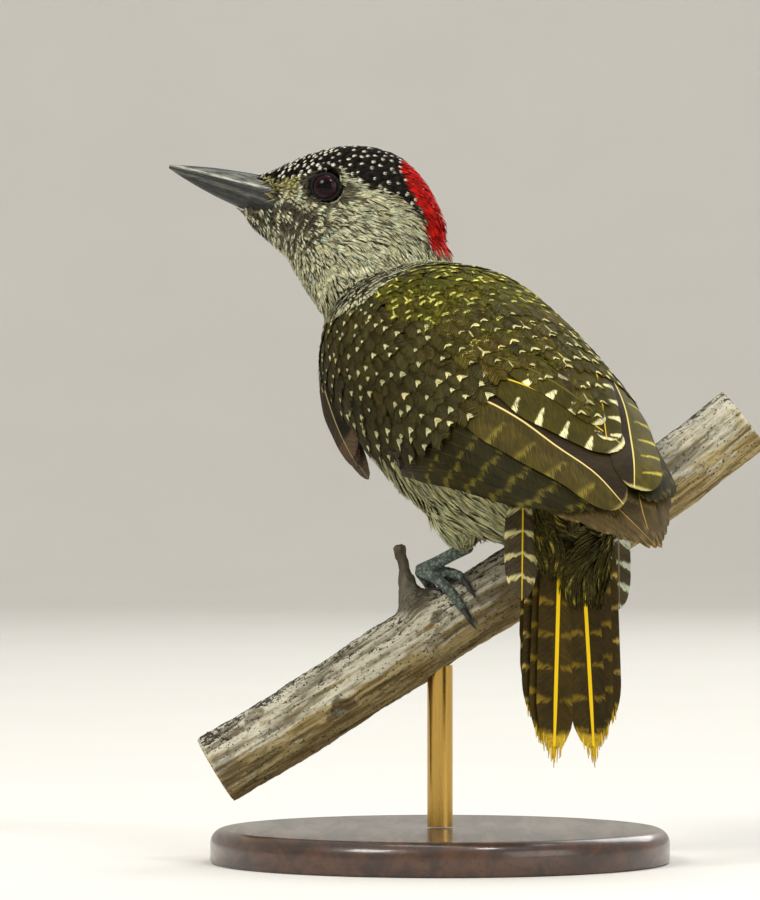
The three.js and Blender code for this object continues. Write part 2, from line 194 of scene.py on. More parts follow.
def studio_sweep():
    profile = [(0.0, 0.0)]
    for step in range(9):
        turn = math.radians(90 * step / 8)
        profile.append((FLOOR_RADIUS + SWEEP_RADIUS * math.sin(turn), SWEEP_RADIUS * (1 - math.cos(turn))))
    profile.append((FLOOR_RADIUS + SWEEP_RADIUS, WALL_HEIGHT))
    shape = bmesh.new()
    line = [shape.verts.new((radius, 0, height)) for radius, height in profile]
    edges = [shape.edges.new(pair) for pair in zip(line, line[1:])]
    bmesh.ops.spin(shape, geom=line + edges, cent=(0, 0, 0), axis=(0, 0, 1), angle=math.tau, steps=96)
    bmesh.ops.remove_doubles(shape, verts=shape.verts, dist=1e-5)
    bmesh.ops.recalc_face_normals(shape, faces=shape.faces)
    mesh = bpy.data.meshes.new("studio_sweep")
    shape.to_mesh(mesh)
    shape.free()
    mesh.shade_smooth()
    return placed("studio_sweep", mesh)


floor_finish = Finish("studio_paper", Roughness=0.9, Specular_IOR_Level=0.2)
paper_grain = floor_finish.noise(floor_finish.place(), 9.0, 2.0)
paper = floor_finish.blend(paper_grain, paint(226, 224, 218), paint(231, 229, 224))
floor_finish.set("Base Color", paper)
sweep = studio_sweep()
sweep.data.materials.append(floor_finish.material)

world = bpy.data.worlds.new("studio_air")
world.use_nodes = True
air = world.node_tree.nodes["Background"].inputs
air["Color"].default_value = (1.0, 0.99, 0.97, 1.0)
air["Strength"].default_value = 0.55
bpy.context.scene.world = world


LIGHTS_AIM = (0.0, 0.0, 0.11)


def soft_box(name, place, width, power, tint=(1.0, 1.0, 1.0)):
    """A square soft light aimed at the bird."""
    bpy.ops.object.light_add(type="AREA", location=place)
    light = bpy.context.object
    light.name = name
    light.data.size = width
    light.data.energy = power
    light.data.color = tint
    aim = Vector(LIGHTS_AIM) - Vector(place)
    light.rotation_euler = aim.to_track_quat("-Z", "Y").to_euler()


soft_box("key_light", (-1.15, -1.25, 1.55), 0.7, 27.0, (1.0, 0.98, 0.94))
soft_box("top_light", (0.25, 0.35, 1.9), 1.1, 13.0)
soft_box("fill_light", (1.5, -1.2, 0.7), 1.2, 9.0, (0.96, 0.98, 1.0))
soft_box("rear_light", (0.9, 1.5, 1.1), 0.9, 9.0)
soft_box("catch_light", (0.17, -0.23, 0.54), 0.07, 0.5)

# ==================================================================== stand
# A turned hardwood foot, stained dark and varnished, and the brass rod that stands in it. Both are round, on
# one upright axis.
BASE_RADIUS = 0.054
BASE_HEIGHT = 0.008
BASE_ROUNDING = 0.0034
BASE_FOOT_EDGE = 0.0008
ROD_RADIUS = 0.003
SMOOTH_BELOW = math.radians(35)


def ride_root(piece, slot, *nodes):
    """Every piece of the still bird rides on its one body and stands for CAD nodes."""
    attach(piece, "root")
    if nodes:
        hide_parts(*nodes)


def picked(piece, test):
    """Leaves edit mode's selection on the edges whose middle passes the test."""
    bpy.ops.object.mode_set(mode="EDIT")
    bpy.ops.mesh.select_mode(type="EDGE")
    bpy.ops.mesh.select_all(action="DESELECT")
    shape = bmesh.from_edit_mesh(piece.data)
    for edge in shape.edges:
        middle = (edge.verts[0].co + edge.verts[1].co) / 2
        edge.select = test(edge, middle)
    shape.select_flush(True)
    bmesh.update_edit_mesh(piece.data)


def is_rim(edge):
    """An edge between a flat end and the round side."""
    faces = edge.link_faces
    return len(faces) == 2 and abs(faces[0].normal.dot(faces[1].normal)) < 0.5 and edge.is_manifold


def alone(piece):
    """Selects the piece and nothing else."""
    bpy.ops.object.select_all(action="DESELECT")
    piece.select_set(True)
    bpy.context.view_layer.objects.active = piece


def set_in_place(piece):
    """The piece with its place in its mesh."""
    alone(piece)
    bpy.ops.object.transform_apply(location=True, rotation=True, scale=True)
    bpy.ops.object.select_all(action="DESELECT")


def turned_round(name, radius, low, high, sides):
    """A cylinder on the stand's own upright axis."""
    bpy.ops.mesh.primitive_cylinder_add(vertices=sides, radius=radius, depth=high - low,
                                        location=(0, 0, (high + low) / 2))
    made = bpy.context.object
    made.name = name
    set_in_place(made)
    alone(made)
    return made


foot = turned_round("display_foot", BASE_RADIUS, 0, BASE_HEIGHT, 160)
picked(foot, lambda edge, middle: is_rim(edge) and middle.z > BASE_HEIGHT / 2)
bpy.ops.mesh.bevel(offset=BASE_ROUNDING, segments=7, profile=0.5, affect="EDGES")
picked(foot, lambda edge, middle: is_rim(edge) and middle.z < 0.0001)
bpy.ops.mesh.bevel(offset=BASE_FOOT_EDGE, segments=3, profile=0.5, affect="EDGES")
bpy.ops.object.mode_set(mode="OBJECT")
bpy.ops.object.shade_smooth_by_angle(angle=SMOOTH_BELOW)
set_in_place(foot)

wood = Finish("foot_wood", Specular_IOR_Level=0.5, Coat_Weight=0.6, Coat_Roughness=0.12)
wood_grain = wood.noise(wood.stretched(wood.place(), (70.0, 9.0, 70.0)), 2.4, 6.0, 0.6, 0.6)
wood_pores = wood.noise(wood.stretched(wood.place(), (900.0, 60.0, 900.0)), 1.0, 2.0)
wood_colour = wood.over(paint(44, 26, 17), paint(84, 52, 33), wood_grain, 0.35, 0.68)
wood_colour = wood.over(wood_colour, paint(24, 14, 9), wood_pores, 0.56, 0.7, 0.0, 0.45)
wood.set("Base Color", wood_colour)
wood.set("Roughness", wood.step(wood_grain, 0.3, 0.7, 0.42, 0.3))
wood.relief(wood_pores, 0.25, 0.0002)
foot.data.materials.append(wood.material)
ride_root(foot, "stand_wood", "stand_base")

rod_low, rod_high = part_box("stand_rod")
rod = turned_round("display_rod", ROD_RADIUS, rod_low.z, rod_high.z, 48)
bpy.ops.object.shade_smooth_by_angle(angle=SMOOTH_BELOW)
set_in_place(rod)
brass = Finish("rod_brass", Metallic=1.0)
brass_lines = brass.noise(brass.stretched(brass.place(), (1500.0, 1500.0, 25.0)), 1.0, 2.0)
brass.set("Base Color", brass.blend(brass_lines, paint(176, 138, 66), paint(205, 168, 92)))
brass.set("Roughness", brass.step(brass_lines, 0.3, 0.7, 0.2, 0.34))
rod.data.materials.append(brass.material)
ride_root(rod, "stand_brass", "stand_rod")

# ==================================================================== perch
# A dead, weathered branch sawn to length, with a broken side stub. Its brown bark has worn to pale grey on
# the upper side, with shallow furrows, old twig scars, small pits and a black crust.
MM = 0.001
BRANCH_RADIUS = 8.6
BRANCH_VOXEL = 0.62
SEED_STRIDE = 17.3
BRANCH_WAY = [(-52.9, 21.4), (-35.3, 32), (-19.5, 42.1), (-9.4, 48.6), (5, 58), (18.6, 66.3), (37.6, 78.7),
              (54.3, 90.7), (61.8, 96.3), (71.7, 104.1)]
STUB_WAY = [(-3.2, 56), (-6.4, 61.6), (-8.6, 69.6), (-9.7, 74.6)]
# Old twig scars: distance along the branch, angle round it, size.
TWIG_SCARS = ((33, -1.9, 2.6), (64, -1.2, 1.8), (121, -1.5, 2.2), (96, 2.4, 2.4), (15, -0.7, 2.0),
              (139, 0.8, 1.9))


def copy_of(name, *nodes):
    """One mesh of some CAD nodes, with their loose corners merged."""
    shape = bmesh.new()
    for node in nodes:
        shape.from_mesh(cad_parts[node].data)
    bmesh.ops.remove_doubles(shape, verts=shape.verts, dist=1e-6)
    mesh = bpy.data.meshes.new(name)
    shape.to_mesh(mesh)
    shape.free()
    return placed(name, mesh)


def fused(name, voxel, smoothing, *nodes):
    """CAD nodes melted into one skin of even small faces, as modelling wax over a manikin."""
    made = copy_of(name, *nodes)
    alone(made)
    remesh = made.modifiers.new("melt", "REMESH")
    remesh.mode = "VOXEL"
    remesh.voxel_size = voxel * MM
    bpy.ops.object.modifier_apply(modifier="melt")
    smooth = made.modifiers.new("smooth", "SMOOTH")
    smooth.factor = 0.5
    smooth.iterations = smoothing
    bpy.ops.object.modifier_apply(modifier="smooth")
    bpy.ops.object.select_all(action="DESELECT")
    shape = bmesh.new()
    shape.from_mesh(made.data)
    keep_largest(shape)
    shape.to_mesh(made.data)
    shape.free()
    made.data.shade_smooth()
    return made


def keep_largest(shape):
    """Drops the closed bubbles that a melted seam can leave inside."""
    todo = set(shape.verts)
    islands = []
    while todo:
        first = todo.pop()
        island = [first]
        for vert in island:
            for edge in vert.link_edges:
                other = edge.other_vert(vert)
                if other in todo:
                    todo.remove(other)
                    island.append(other)
        islands.append(island)
    islands.sort(key=len)
    spare = [vert for island in islands[:-1] for vert in island]
    bmesh.ops.delete(shape, geom=spare, context="VERTS")


def corners(made):
    """A mesh's corners in millimetres."""
    found = np.empty(len(made.data.vertices) * 3)
    made.data.vertices.foreach_get("co", found)
    return found.reshape(-1, 3) / MM


def corner_normals(made):
    """The way that a mesh faces at its corners."""
    found = np.empty(len(made.data.vertices) * 3)
    made.data.vertex_normals.foreach_get("vector", found)
    return found.reshape(-1, 3)


def move_corners(made, places):
    """Moves a mesh's corners to these places, in millimetres."""
    made.data.vertices.foreach_set("co", (places * MM).ravel())
    made.data.update()


def write(made, name, values):
    """Keeps one value, or one colour or vector, for each corner."""
    values = np.asarray(values, float)
    if values.ndim == 1:
        layer = made.data.attributes.new(name, "FLOAT", "POINT")
        layer.data.foreach_set("value", values)
        return
    if values.shape[1] == 3:
        values = np.concatenate([values, np.ones((len(values), 1))], axis=1)
    layer = made.data.attributes.new(name, "FLOAT_COLOR", "POINT")
    layer.data.foreach_set("color", values.ravel())


def beside(way, places):
    """Where places lie by a line in the X-Z plane: distance along it, distance from it, angle round it."""
    way = np.array([(x, 0.0, z) for x, z in way], float)
    best = np.full(len(places), np.inf)
    along = np.zeros(len(places))
    around = np.zeros(len(places))
    run = 0.0
    for a, b in zip(way, way[1:]):
        length = np.linalg.norm(b - a)
        ahead = (b - a) / length
        t = np.clip((places - a) @ ahead, 0, length)
        off = places - a - t[:, None] * ahead
        far = np.linalg.norm(off, axis=1)
        side = np.array((-ahead[2], 0.0, ahead[0]))
        nearer = far < best
        best = np.where(nearer, far, best)
        along = np.where(nearer, run + t, along)
        around = np.where(nearer, np.arctan2(off[:, 1], off @ side), around)
        run += length
    return along, best, around, run


def wander(points, stretch, seed, octaves=3):
    """Smooth random heights at points scaled by stretch."""
    scaled = points * np.array(stretch) + seed * SEED_STRIDE
    return np.array([noise.fractal(Vector(p), 1.0, 2.0, octaves) for p in scaled])


branch = fused("branch", BRANCH_VOXEL, 3, "perch_branch")
branch_places = corners(branch)
along, far, around, branch_length = beside(BRANCH_WAY, branch_places)
_, stub_far, _, _ = beside(STUB_WAY, branch_places)
stubness = np.clip((6.5 - stub_far) / 3.5, 0, 1) * np.clip((branch_places[:, 2] - 60) / 5, 0, 1)
round_place = np.stack([np.cos(around) * 8, np.sin(around) * 8, along], axis=1)
end_gap = np.minimum(along, branch_length - along)
sawn = (end_gap < 0.05) & (stubness < 0.1)
lumps = wander(round_place, (0.10, 0.10, 0.045), 1)
furrows = wander(round_place, (0.55, 0.55, 0.05), 2)
splits = 1 - np.abs(wander(round_place, (0.42, 0.42, 0.022), 3, 2)) * 6
grit = wander(round_place, (1.3, 1.3, 0.5), 4)
bark = 0.55 * lumps + 0.42 * furrows + 0.16 * grit - 0.5 * np.clip(splits, 0, 1) ** 2
scars = np.zeros(len(bark))
for scar_along, scar_angle, scar_size in TWIG_SCARS:
    turn = np.abs((around - scar_angle + math.pi) % math.tau - math.pi) * BRANCH_RADIUS
    reach = np.hypot((along - scar_along) * 0.8, turn * 1.25) / scar_size
    reach = reach * (1 + 0.5 * wander(round_place, (0.4, 0.4, 0.4), 6))
    scars = np.maximum(scars, np.exp(-(reach - 0.75) ** 2 * 6))
    bark += 0.55 * np.exp(-(reach - 1) ** 2 * 4) - 0.9 * np.exp(-reach ** 2 * 4)
bark *= np.where(sawn, 0, np.clip(end_gap / 1.2 + stubness, 0.1, 1))
bark += stubness * 0.45 * wander(branch_places, (0.8, 0.8, 0.25), 5)
move_corners(branch, branch_places + corner_normals(branch) * (bark - 0.15)[:, None])
write(branch, "sawn", sawn.astype(float))
write(branch, "heart", far)
write(branch, "stub", np.clip((9 - stub_far) / 5, 0, 1) * np.clip((branch_places[:, 2] - 55) / 5, 0, 1))
write(branch, "low", np.clip(0.5 - bark, 0, 1))
write(branch, "scar", np.clip(scars, 0, 1))
write(branch, "run", round_place)
write(branch, "sky", 0.5 + 0.5 * corner_normals(branch)[:, 2])

bark_finish = Finish("branch_bark", Specular_IOR_Level=0.25)
run = bark_finish.read("run", "Vector")
sky = bark_finish.read("sky", "Fac")
bark_long = bark_finish.noise(bark_finish.stretched(run, (0.9, 0.9, 0.07)), 1.0, 5.0, 0.65)
bark_patch = bark_finish.noise(bark_finish.stretched(run, (0.22, 0.22, 0.1)), 1.0, 4.0, 0.6)
bark_fine = bark_finish.noise(bark_finish.stretched(run, (4.5, 4.5, 0.8)), 1.0, 3.0, 0.6)
lichen = bark_finish.noise(bark_finish.stretched(run, (1.25, 1.25, 0.8)), 1.0, 6.0, 0.72)
crust = lichen + bark_patch * 0.35 + bark_finish.step(sky, 0.7, 1.0, 0.0, 0.2)
pits = bark_finish.cells(bark_finish.stretched(run, (0.9, 0.9, 0.8)))
brown = bark_finish.over(paint(112, 92, 52), paint(178, 160, 112), bark_long, 0.36, 0.6)
wear_and_highlight = bark_finish.over(paint(136, 128, 106), paint(202, 197, 176), bark_long, 0.32, 0.56)
bark_colour = bark_finish.over(brown, wear_and_highlight, sky + bark_patch * 0.9, 0.82, 1.05)
for top, *going in (
    (paint(84, 72, 48), bark_finish.read("low", "Fac"), 0.55, 0.95, 0.0, 0.7),
    (paint(88, 78, 54), bark_fine, 0.52, 0.68, 0.0, 0.6),
    (paint(46, 38, 26), pits, 0.12, 0.24, 0.85, 0.0),
    (paint(36, 34, 28), crust, 0.78, 0.83, 0.0, 0.94),
    (paint(50, 42, 32), bark_finish.read("scar", "Fac"), 0.35, 0.9, 0.0, 0.6),
    (paint(62, 56, 44), bark_finish.read("stub", "Fac"), 0.1, 0.8, 0.0, 0.85),
):
    bark_colour = bark_finish.over(bark_colour, top, *going)
growth = bark_finish.math("FRACT", bark_finish.read("heart", "Fac") * 0.85)
wood_face = bark_finish.over(paint(196, 170, 124), paint(150, 118, 76), growth, 0.6, 0.95)
bark_finish.set("Base Color", bark_finish.blend(bark_finish.read("sawn", "Fac"), bark_colour, wood_face))
bark_finish.set("Roughness", bark_finish.step(bark_fine, 0.3, 0.7, 0.78, 0.95))
bark_finish.relief(bark_long * 0.7 + bark_fine, 0.55, 0.0004)
branch.data.materials.append(bark_finish.material)
ride_root(branch, "bark", "perch_branch")

# ==================================================================== skin
# The bird's skin over the manikin, coloured as the plumage above it. It lies inside the solids by the depth
# of the coat, and the two guides below carry the coat's outer face.
HEAD_CENTRE = (-21.3, 27, 155.5)
TAIL_ROOT = (29.6, -33, 85.5)
COAT_DEPTH = 1.5
COAT_VOXEL = 0.8
FLESH = ("head", "neck", "trunk", "rump", "thigh_left", "thigh_right")
WING_PARTS = ("primaries", "secondaries", "tertials", "coverts")
SIDES = (("left", 1), ("right", -1))


class Frame:
    """Forward, left and up directions at a part of the body, in millimetres."""

    def __init__(self, origin, forward, left):
        self.origin = np.array(origin, float)
        self.forward = np.array(forward, float)
        self.left = np.array(left, float)
        self.up = np.cross(self.forward, self.left)

    @classmethod
    def facing(cls, origin, heading, pitch, roll):
        h, p, r = (math.radians(angle) for angle in (heading, pitch, roll))
        forward = np.array((-math.cos(h) * math.cos(p), math.sin(h) * math.cos(p), math.sin(p)))
        level = np.array((-math.sin(h), -math.cos(h), 0.0))
        upright = np.cross(forward, level)
        return cls(origin, forward, level * math.cos(r) - upright * math.sin(r))

    def turned(self, drop, swing):
        """The frame of a part that runs back from this one, dropped and swung to the left."""
        down = Matrix.Rotation(math.radians(-drop), 3, Vector(self.left))
        side = Matrix.Rotation(math.radians(-swing), 3, Vector(self.up))
        turn = down @ side
        made = Frame(self.origin, turn @ Vector(-self.forward), turn @ Vector(self.left))
        made.up = np.array(turn @ Vector(self.up))
        return made

    def at(self, forward, left, up):
        forward, left, up = (np.asarray(part, float)[..., None] for part in (forward, left, up))
        return self.origin + forward * self.forward + left * self.left + up * self.up

    def seen(self, places):
        """Forward, left and up distances of places from this frame's origin."""
        return (np.asarray(places) - self.origin) @ np.stack([self.forward, self.left, self.up]).T


def through(stations, x, column=1):
    """A smooth curve through stations (x, value, value...), read at x for one column."""
    table = np.array(stations, float)
    keys = table[:, 0]
    values = table[:, column]
    before = np.maximum(np.arange(len(keys)) - 1, 0)
    after = np.minimum(np.arange(len(keys)) + 1, len(keys) - 1)
    slope = (values[after] - values[before]) / (keys[after] - keys[before])
    x = np.clip(x, keys[0], keys[-1])
    i = np.clip(np.searchsorted(keys, x, side="right") - 1, 0, len(keys) - 2)
    span = keys[i + 1] - keys[i]
    t = (x - keys[i]) / span
    rise = values[i + 1] - values[i]
    start = slope[i] * span
    end = slope[i + 1] * span
    return values[i] + t * start + t * t * (3 * rise - 2 * start - end) + t ** 3 * (start + end - 2 * rise)


head_frame = Frame.facing(HEAD_CENTRE, 6, 16.2, 0)
trunk_frame = Frame.facing(TAIL_ROOT, 53, 33, 8)
tail_frame = trunk_frame.turned(50, 11)

# The folded wings' outer surface: distance forward, half width, height above and depth below, shift left.
WING = [
    (-33, 16.4, 12, 14, 0.5), (-22, 21.3, 14.6, 17, 0.5), (-13, 24.9, 17.6, 20, 0.5), (-2, 28, 19.4, 22, 0.5),
    (8, 29.5, 22.6, 24, 0.4), (19, 29.7, 25.4, 27, 0.3), (32, 29.2, 27, 30, 0), (46, 28.9, 27, 31, 0),
    (60, 27.4, 25.4, 30.5, 0.2), (74, 22.9, 18.8, 27, 1.1), (86, 12.9, 11.8, 20.5, 1.3),
    (93, 8.2, 8, 15, 1.4),
]
WING_TIP, WING_FRONT = WING[0][0], WING[-1][0]
# How many millimetres a degree round the wing spans, about half way along it.
DEGREE_WIDE = 0.5


def wing_point(s, degrees, depth, sign):
    """A place in a folded wing: distance forward, angle down from the back, depth below the surface."""
    phi = np.radians(degrees)
    half = through(WING, s, 1) - depth
    high = np.where(np.cos(phi) > 0, through(WING, s, 2), through(WING, s, 3)) - depth
    return trunk_frame.at(s, sign * half * np.sin(phi) + through(WING, s, 4), high * np.cos(phi))


def wing_place(places):
    """The distance forward and the angle from the back, left positive, of places on the body."""
    seen = trunk_frame.seen(places)
    s = np.clip(seen[:, 0], WING_TIP, WING_FRONT)
    across = (seen[:, 1] - through(WING, s, 4)) / through(WING, s, 1)
    high = np.where(seen[:, 2] > 0, through(WING, s, 2), through(WING, s, 3))
    return seen[:, 0], np.degrees(np.arctan2(across, seen[:, 2] / high))


class Surface:
    """A guide that feathers are laid on, with the way it faces smoothed four times over its faces."""

    def __init__(self, made):
        self.places = corners(made)
        faces = [tuple(face.vertices) for face in made.data.polygons]
        self.tree = BVHTree.FromPolygons([Vector(p) for p in self.places], faces)
        normals = corner_normals(made)
        quads = np.array([face if len(face) == 4 else (*face, face[-1]) for face in faces])
        for _ in range(4):
            of_face = normals[quads].mean(axis=1)
            total = np.zeros_like(normals)
            for column in range(4):
                np.add.at(total, quads[:, column], of_face)
            normals = total / np.maximum(np.linalg.norm(total, axis=1), 1e-9)[:, None]
        self.quads = quads
        self.normals = unit(normals[quads].mean(axis=1))

    def nearest(self, places):
        """The nearest places on the surface, with its smoothed normals there."""
        found = [self.tree.find_nearest(place) for place in places.tolist()]
        near = np.array([tuple(hit[0]) for hit in found])
        return near, self.normals[np.array([hit[2] for hit in found])]

    def scatter(self, spacing, seed, keep):
        """Places spread evenly at random, no two nearer than the spacing, where keep says so."""
        rng = np.random.default_rng(seed)
        a, b, c, d = (self.places[self.quads[:, k]] for k in range(4))
        area = np.linalg.norm(np.cross(b - a, c - a), axis=1) + np.linalg.norm(np.cross(c - a, d - a), axis=1)
        middle = (a + b + c + d) / 4
        area = area * keep(middle)
        count = int(area.sum() / 2 / spacing ** 2 * 7)
        chosen = rng.choice(len(area), size=count, p=area / area.sum())
        s, t = rng.random((2, count, 1))
        tries = (a[chosen] * (1 - s) * (1 - t) + b[chosen] * s * (1 - t) + c[chosen] * s * t
                 + d[chosen] * (1 - s) * t)
        cells = {}
        taken = []
        for place in tries.tolist():
            cell = tuple(int(part // spacing) for part in place)
            near = (cells.get((cell[0] + i, cell[1] + j, cell[2] + k), ())
                    for i in (-1, 0, 1) for j in (-1, 0, 1) for k in (-1, 0, 1))
            if all(math.dist(place, other) >= spacing for group in near for other in group):
                cells.setdefault(cell, []).append(place)
                taken.append(place)
        return np.array(taken)


class Envelope(Surface):
    """The guide with the smooth form of back and folded wings over it, where that stands further out."""

    def nearest(self, places):
        near, normals = super().nearest(places)
        s, degrees = wing_place(places)
        sign = np.where(degrees < 0, -1, 1)
        s = np.clip(s, WING_TIP + 1, WING_FRONT - 1)
        degrees = np.abs(degrees)
        over = wing_point(s, degrees, 0.2, sign)
        along = wing_point(s + 0.6, degrees, 0.2, sign) - wing_point(s - 0.6, degrees, 0.2, sign)
        around = wing_point(s, degrees + 1.5, 0.2, sign) - wing_point(s, degrees - 1.5, 0.2, sign)
        out = unit(np.cross(along, around) * sign[:, None])
        outside = ((over - near) * out).sum(axis=1)
        chosen = ((outside > 0) & (outside < 4) & (degrees < 128))[:, None]
        return np.where(chosen, over, near), np.where(chosen, out, normals)


def unit(vectors):
    """The same directions, one long."""
    return vectors / np.maximum(np.linalg.norm(vectors, axis=-1, keepdims=True), 1e-9)


def ramp(value, low, high):
    """0 to 1, smoothly, as the value goes from low to high."""
    t = np.clip((np.asarray(value, float) - low) / (high - low), 0, 1)
    return t * t * (3 - 2 * t)


BILL_ROOT = head_frame.at(25, 0, -3)
HEELS = {"left": (6.6, -11, 74.4), "right": (32.8, -43.0, 72.6)}
HIPS = {"left": trunk_frame.at(28, 9, -14), "right": trunk_frame.at(30, -9, -14)}


def lie(places, normals):
    """The way that the coat lies: back from the bill, down the neck, along the body, down the legs."""
    of_head = head_frame.seen(places)
    s, phi = wing_place(places)
    from_head = np.linalg.norm(of_head + np.array((0, 0, 2)), axis=1)
    headness = 1 - ramp(from_head, 17, 27)
    trunkness = (1 - ramp(s, 76, 94)) * (1 - headness)
    neckness = np.clip(1 - headness - trunkness, 0, 1)
    outward = trunk_frame.left[None] * (np.sin(np.radians(phi)) * ramp(s, 20, 90) * 0.22)[:, None]
    way = unit(places - BILL_ROOT) * headness[:, None]
    way += unit(trunk_frame.at(66, 0, 0) - places) * neckness[:, None] * 1.2
    way += (-trunk_frame.forward + outward) * trunkness[:, None]
    tailness = (1 - ramp(s, -4, 12)) * trunkness
    way += tail_frame.forward * tailness[:, None] * 1.5
    for side in HEELS:
        hip, heel = np.array(HIPS[side]), np.array(HEELS[side])
        bone = unit(heel - hip)
        t = np.clip((places - hip) @ bone, 0, np.linalg.norm(heel - hip))
        reach = np.linalg.norm(places - hip - t[:, None] * bone, axis=1)
        legness = (1 - ramp(reach, 7, 13)) * ramp(t, 5, 14)
        way = way * (1 - legness[:, None]) + bone * legness[:, None]
    way -= normals * (way * normals).sum(axis=1)[:, None]
    return unit(way)


wing_nodes = [f"wing_{side}_{part}" for side in ("left", "right") for part in WING_PARTS]
arm_nodes = [f"wing_{side}_coverts" for side in ("left", "right")]


def guide(kind, name, smoothing, *nodes):
    """A surface to lay feathers on. Its mesh is not part of the bird."""
    made = fused(name, COAT_VOXEL, smoothing, *nodes)
    surface = kind(made)
    bpy.data.objects.remove(made)
    return surface


body_guide = guide(Surface, "body_guide", 5, *FLESH, "bill_upper", "bill_lower")
full_guide = guide(Envelope, "full_guide", 7, *FLESH, *wing_nodes)

skin = fused("skin", COAT_VOXEL, 5, *FLESH, *arm_nodes)
skin_places = corners(skin)
thin = 1 - ramp(head_frame.seen(skin_places)[:, 0], 4, 18) * 0.45
move_corners(skin, skin_places - corner_normals(skin) * (COAT_DEPTH * thin)[:, None])
alone(skin)
bpy.ops.object.mode_set(mode="EDIT")
bpy.ops.mesh.select_all(action="SELECT")
bpy.ops.uv.smart_project(angle_limit=math.radians(66), island_margin=0.004)
bpy.ops.object.mode_set(mode="OBJECT")
bpy.ops.object.select_all(action="DESELECT")
skin.data.uv_layers.active.name = "OFBake"
skin_map = np.empty(len(skin.data.loops) * 2)
skin.data.uv_layers["OFBake"].data.foreach_get("uv", skin_map)
skin_map = skin_map.reshape(-1, 2)
skin_face_start = np.empty(len(skin.data.polygons), int)
skin.data.polygons.foreach_get("loop_start", skin_face_start)
skin_faces = [tuple(face.vertices) for face in skin.data.polygons]
skin_tree = BVHTree.FromPolygons([Vector(p) for p in corners(skin)], skin_faces)


def roots_on_map(places):
    """Each root's own place on the skin's map."""
    faces = np.array([skin_tree.find_nearest(place)[2] for place in places.tolist()])
    start = skin_face_start[faces]
    return (skin_map[start] + skin_map[start + 2]) / 2


# ==================================================================== plumage
# Each feather or tuft is laid from its root along the coat, on a curve that follows the body, and rises from
# the skin to the coat's face so that every one lies over the roots of those behind it.


class Tufts:
    """Feathers of one kind: where they grow, how they lie, how long and how wide, in millimetres."""

    def __init__(self, guide, roots, length, width, rows=5, turn=0.0, depth=1.2, rise=0.0, way=None):
        given = (length, width, turn, depth, rise)
        self.length, self.width, turn, depth, rise = (np.broadcast_to(part, (len(roots),)) for part in given)
        place, normal = guide.nearest(np.asarray(roots, float))
        self.roots = place
        centre, across, normals = [], [], []
        for row in range(rows):
            if row:
                place, normal = guide.nearest(place + ahead * (self.length / (rows - 1))[:, None])
            wish = lie(place, normal) if way is None else way
            ahead = unit(wish - normal * (wish * normal).sum(axis=1)[:, None])
            side = np.cross(normal, ahead)
            ahead = unit(ahead * np.cos(turn)[:, None] + side * np.sin(turn)[:, None])
            v = row / (rows - 1)
            height = rise * v ** 2 - depth * (1 - v) ** 1.5
            centre.append(place + normal * height[:, None])
            across.append(np.cross(normal, ahead))
            normals.append(normal)
        self.centre = np.stack(centre, axis=1)
        self.across = np.stack(across, axis=1)
        self.normal = np.stack(normals, axis=1)
        self.map = roots_on_map(self.roots)

    def __len__(self):
        return len(self.length)


def plume(blades, seed, spread, fan, ragged):
    """A tuft of narrow pointed blades, each closed and thin.

    It gives corners as (across, along, height), faces, and a map of the corners.
    """
    rng = np.random.default_rng(seed)
    points, faces, maps = [], [], []
    for blade in range(blades):
        lean = (blade + 0.5) / blades * 2 - 1 + rng.normal(0, 0.08)
        tip = 1 - ragged * rng.random() - 0.18 * abs(lean) ** 2
        half = spread / blades * (1.15 + 0.3 * rng.random())
        lift = rng.random() * 0.12
        bend = rng.normal(0, 0.12)
        start = len(points)
        for v, wide in ((0.0, 0.7), (0.4, 1.0), (0.75, 0.7)):
            middle = lean * (1 - fan + fan * v) * spread + bend * v * v
            along = v * tip
            for x, h in ((-half * wide, 0.0), (0.0, 0.07), (half * wide, 0.0)):
                points.append((middle + x, along, h + lift))
                maps.append((middle + x, along))
        middle = lean * spread + bend
        points.append((middle, tip, lift + 0.02))
        maps.append((middle, tip))
        for row in (0, 3):
            a = start + row
            faces += [(a, a + 1, a + 4), (a, a + 4, a + 3), (a + 1, a + 2, a + 5), (a + 1, a + 5, a + 4),
                      (a + 2, a, a + 3), (a + 2, a + 3, a + 5)]
        a = start + 6
        faces += [(a, a + 1, a + 3), (a + 1, a + 2, a + 3), (a + 2, a, a + 3), (start, start + 2, start + 1)]
    return np.array(points), np.array(faces), np.array(maps)


BARB_HEIGHT = 0.12


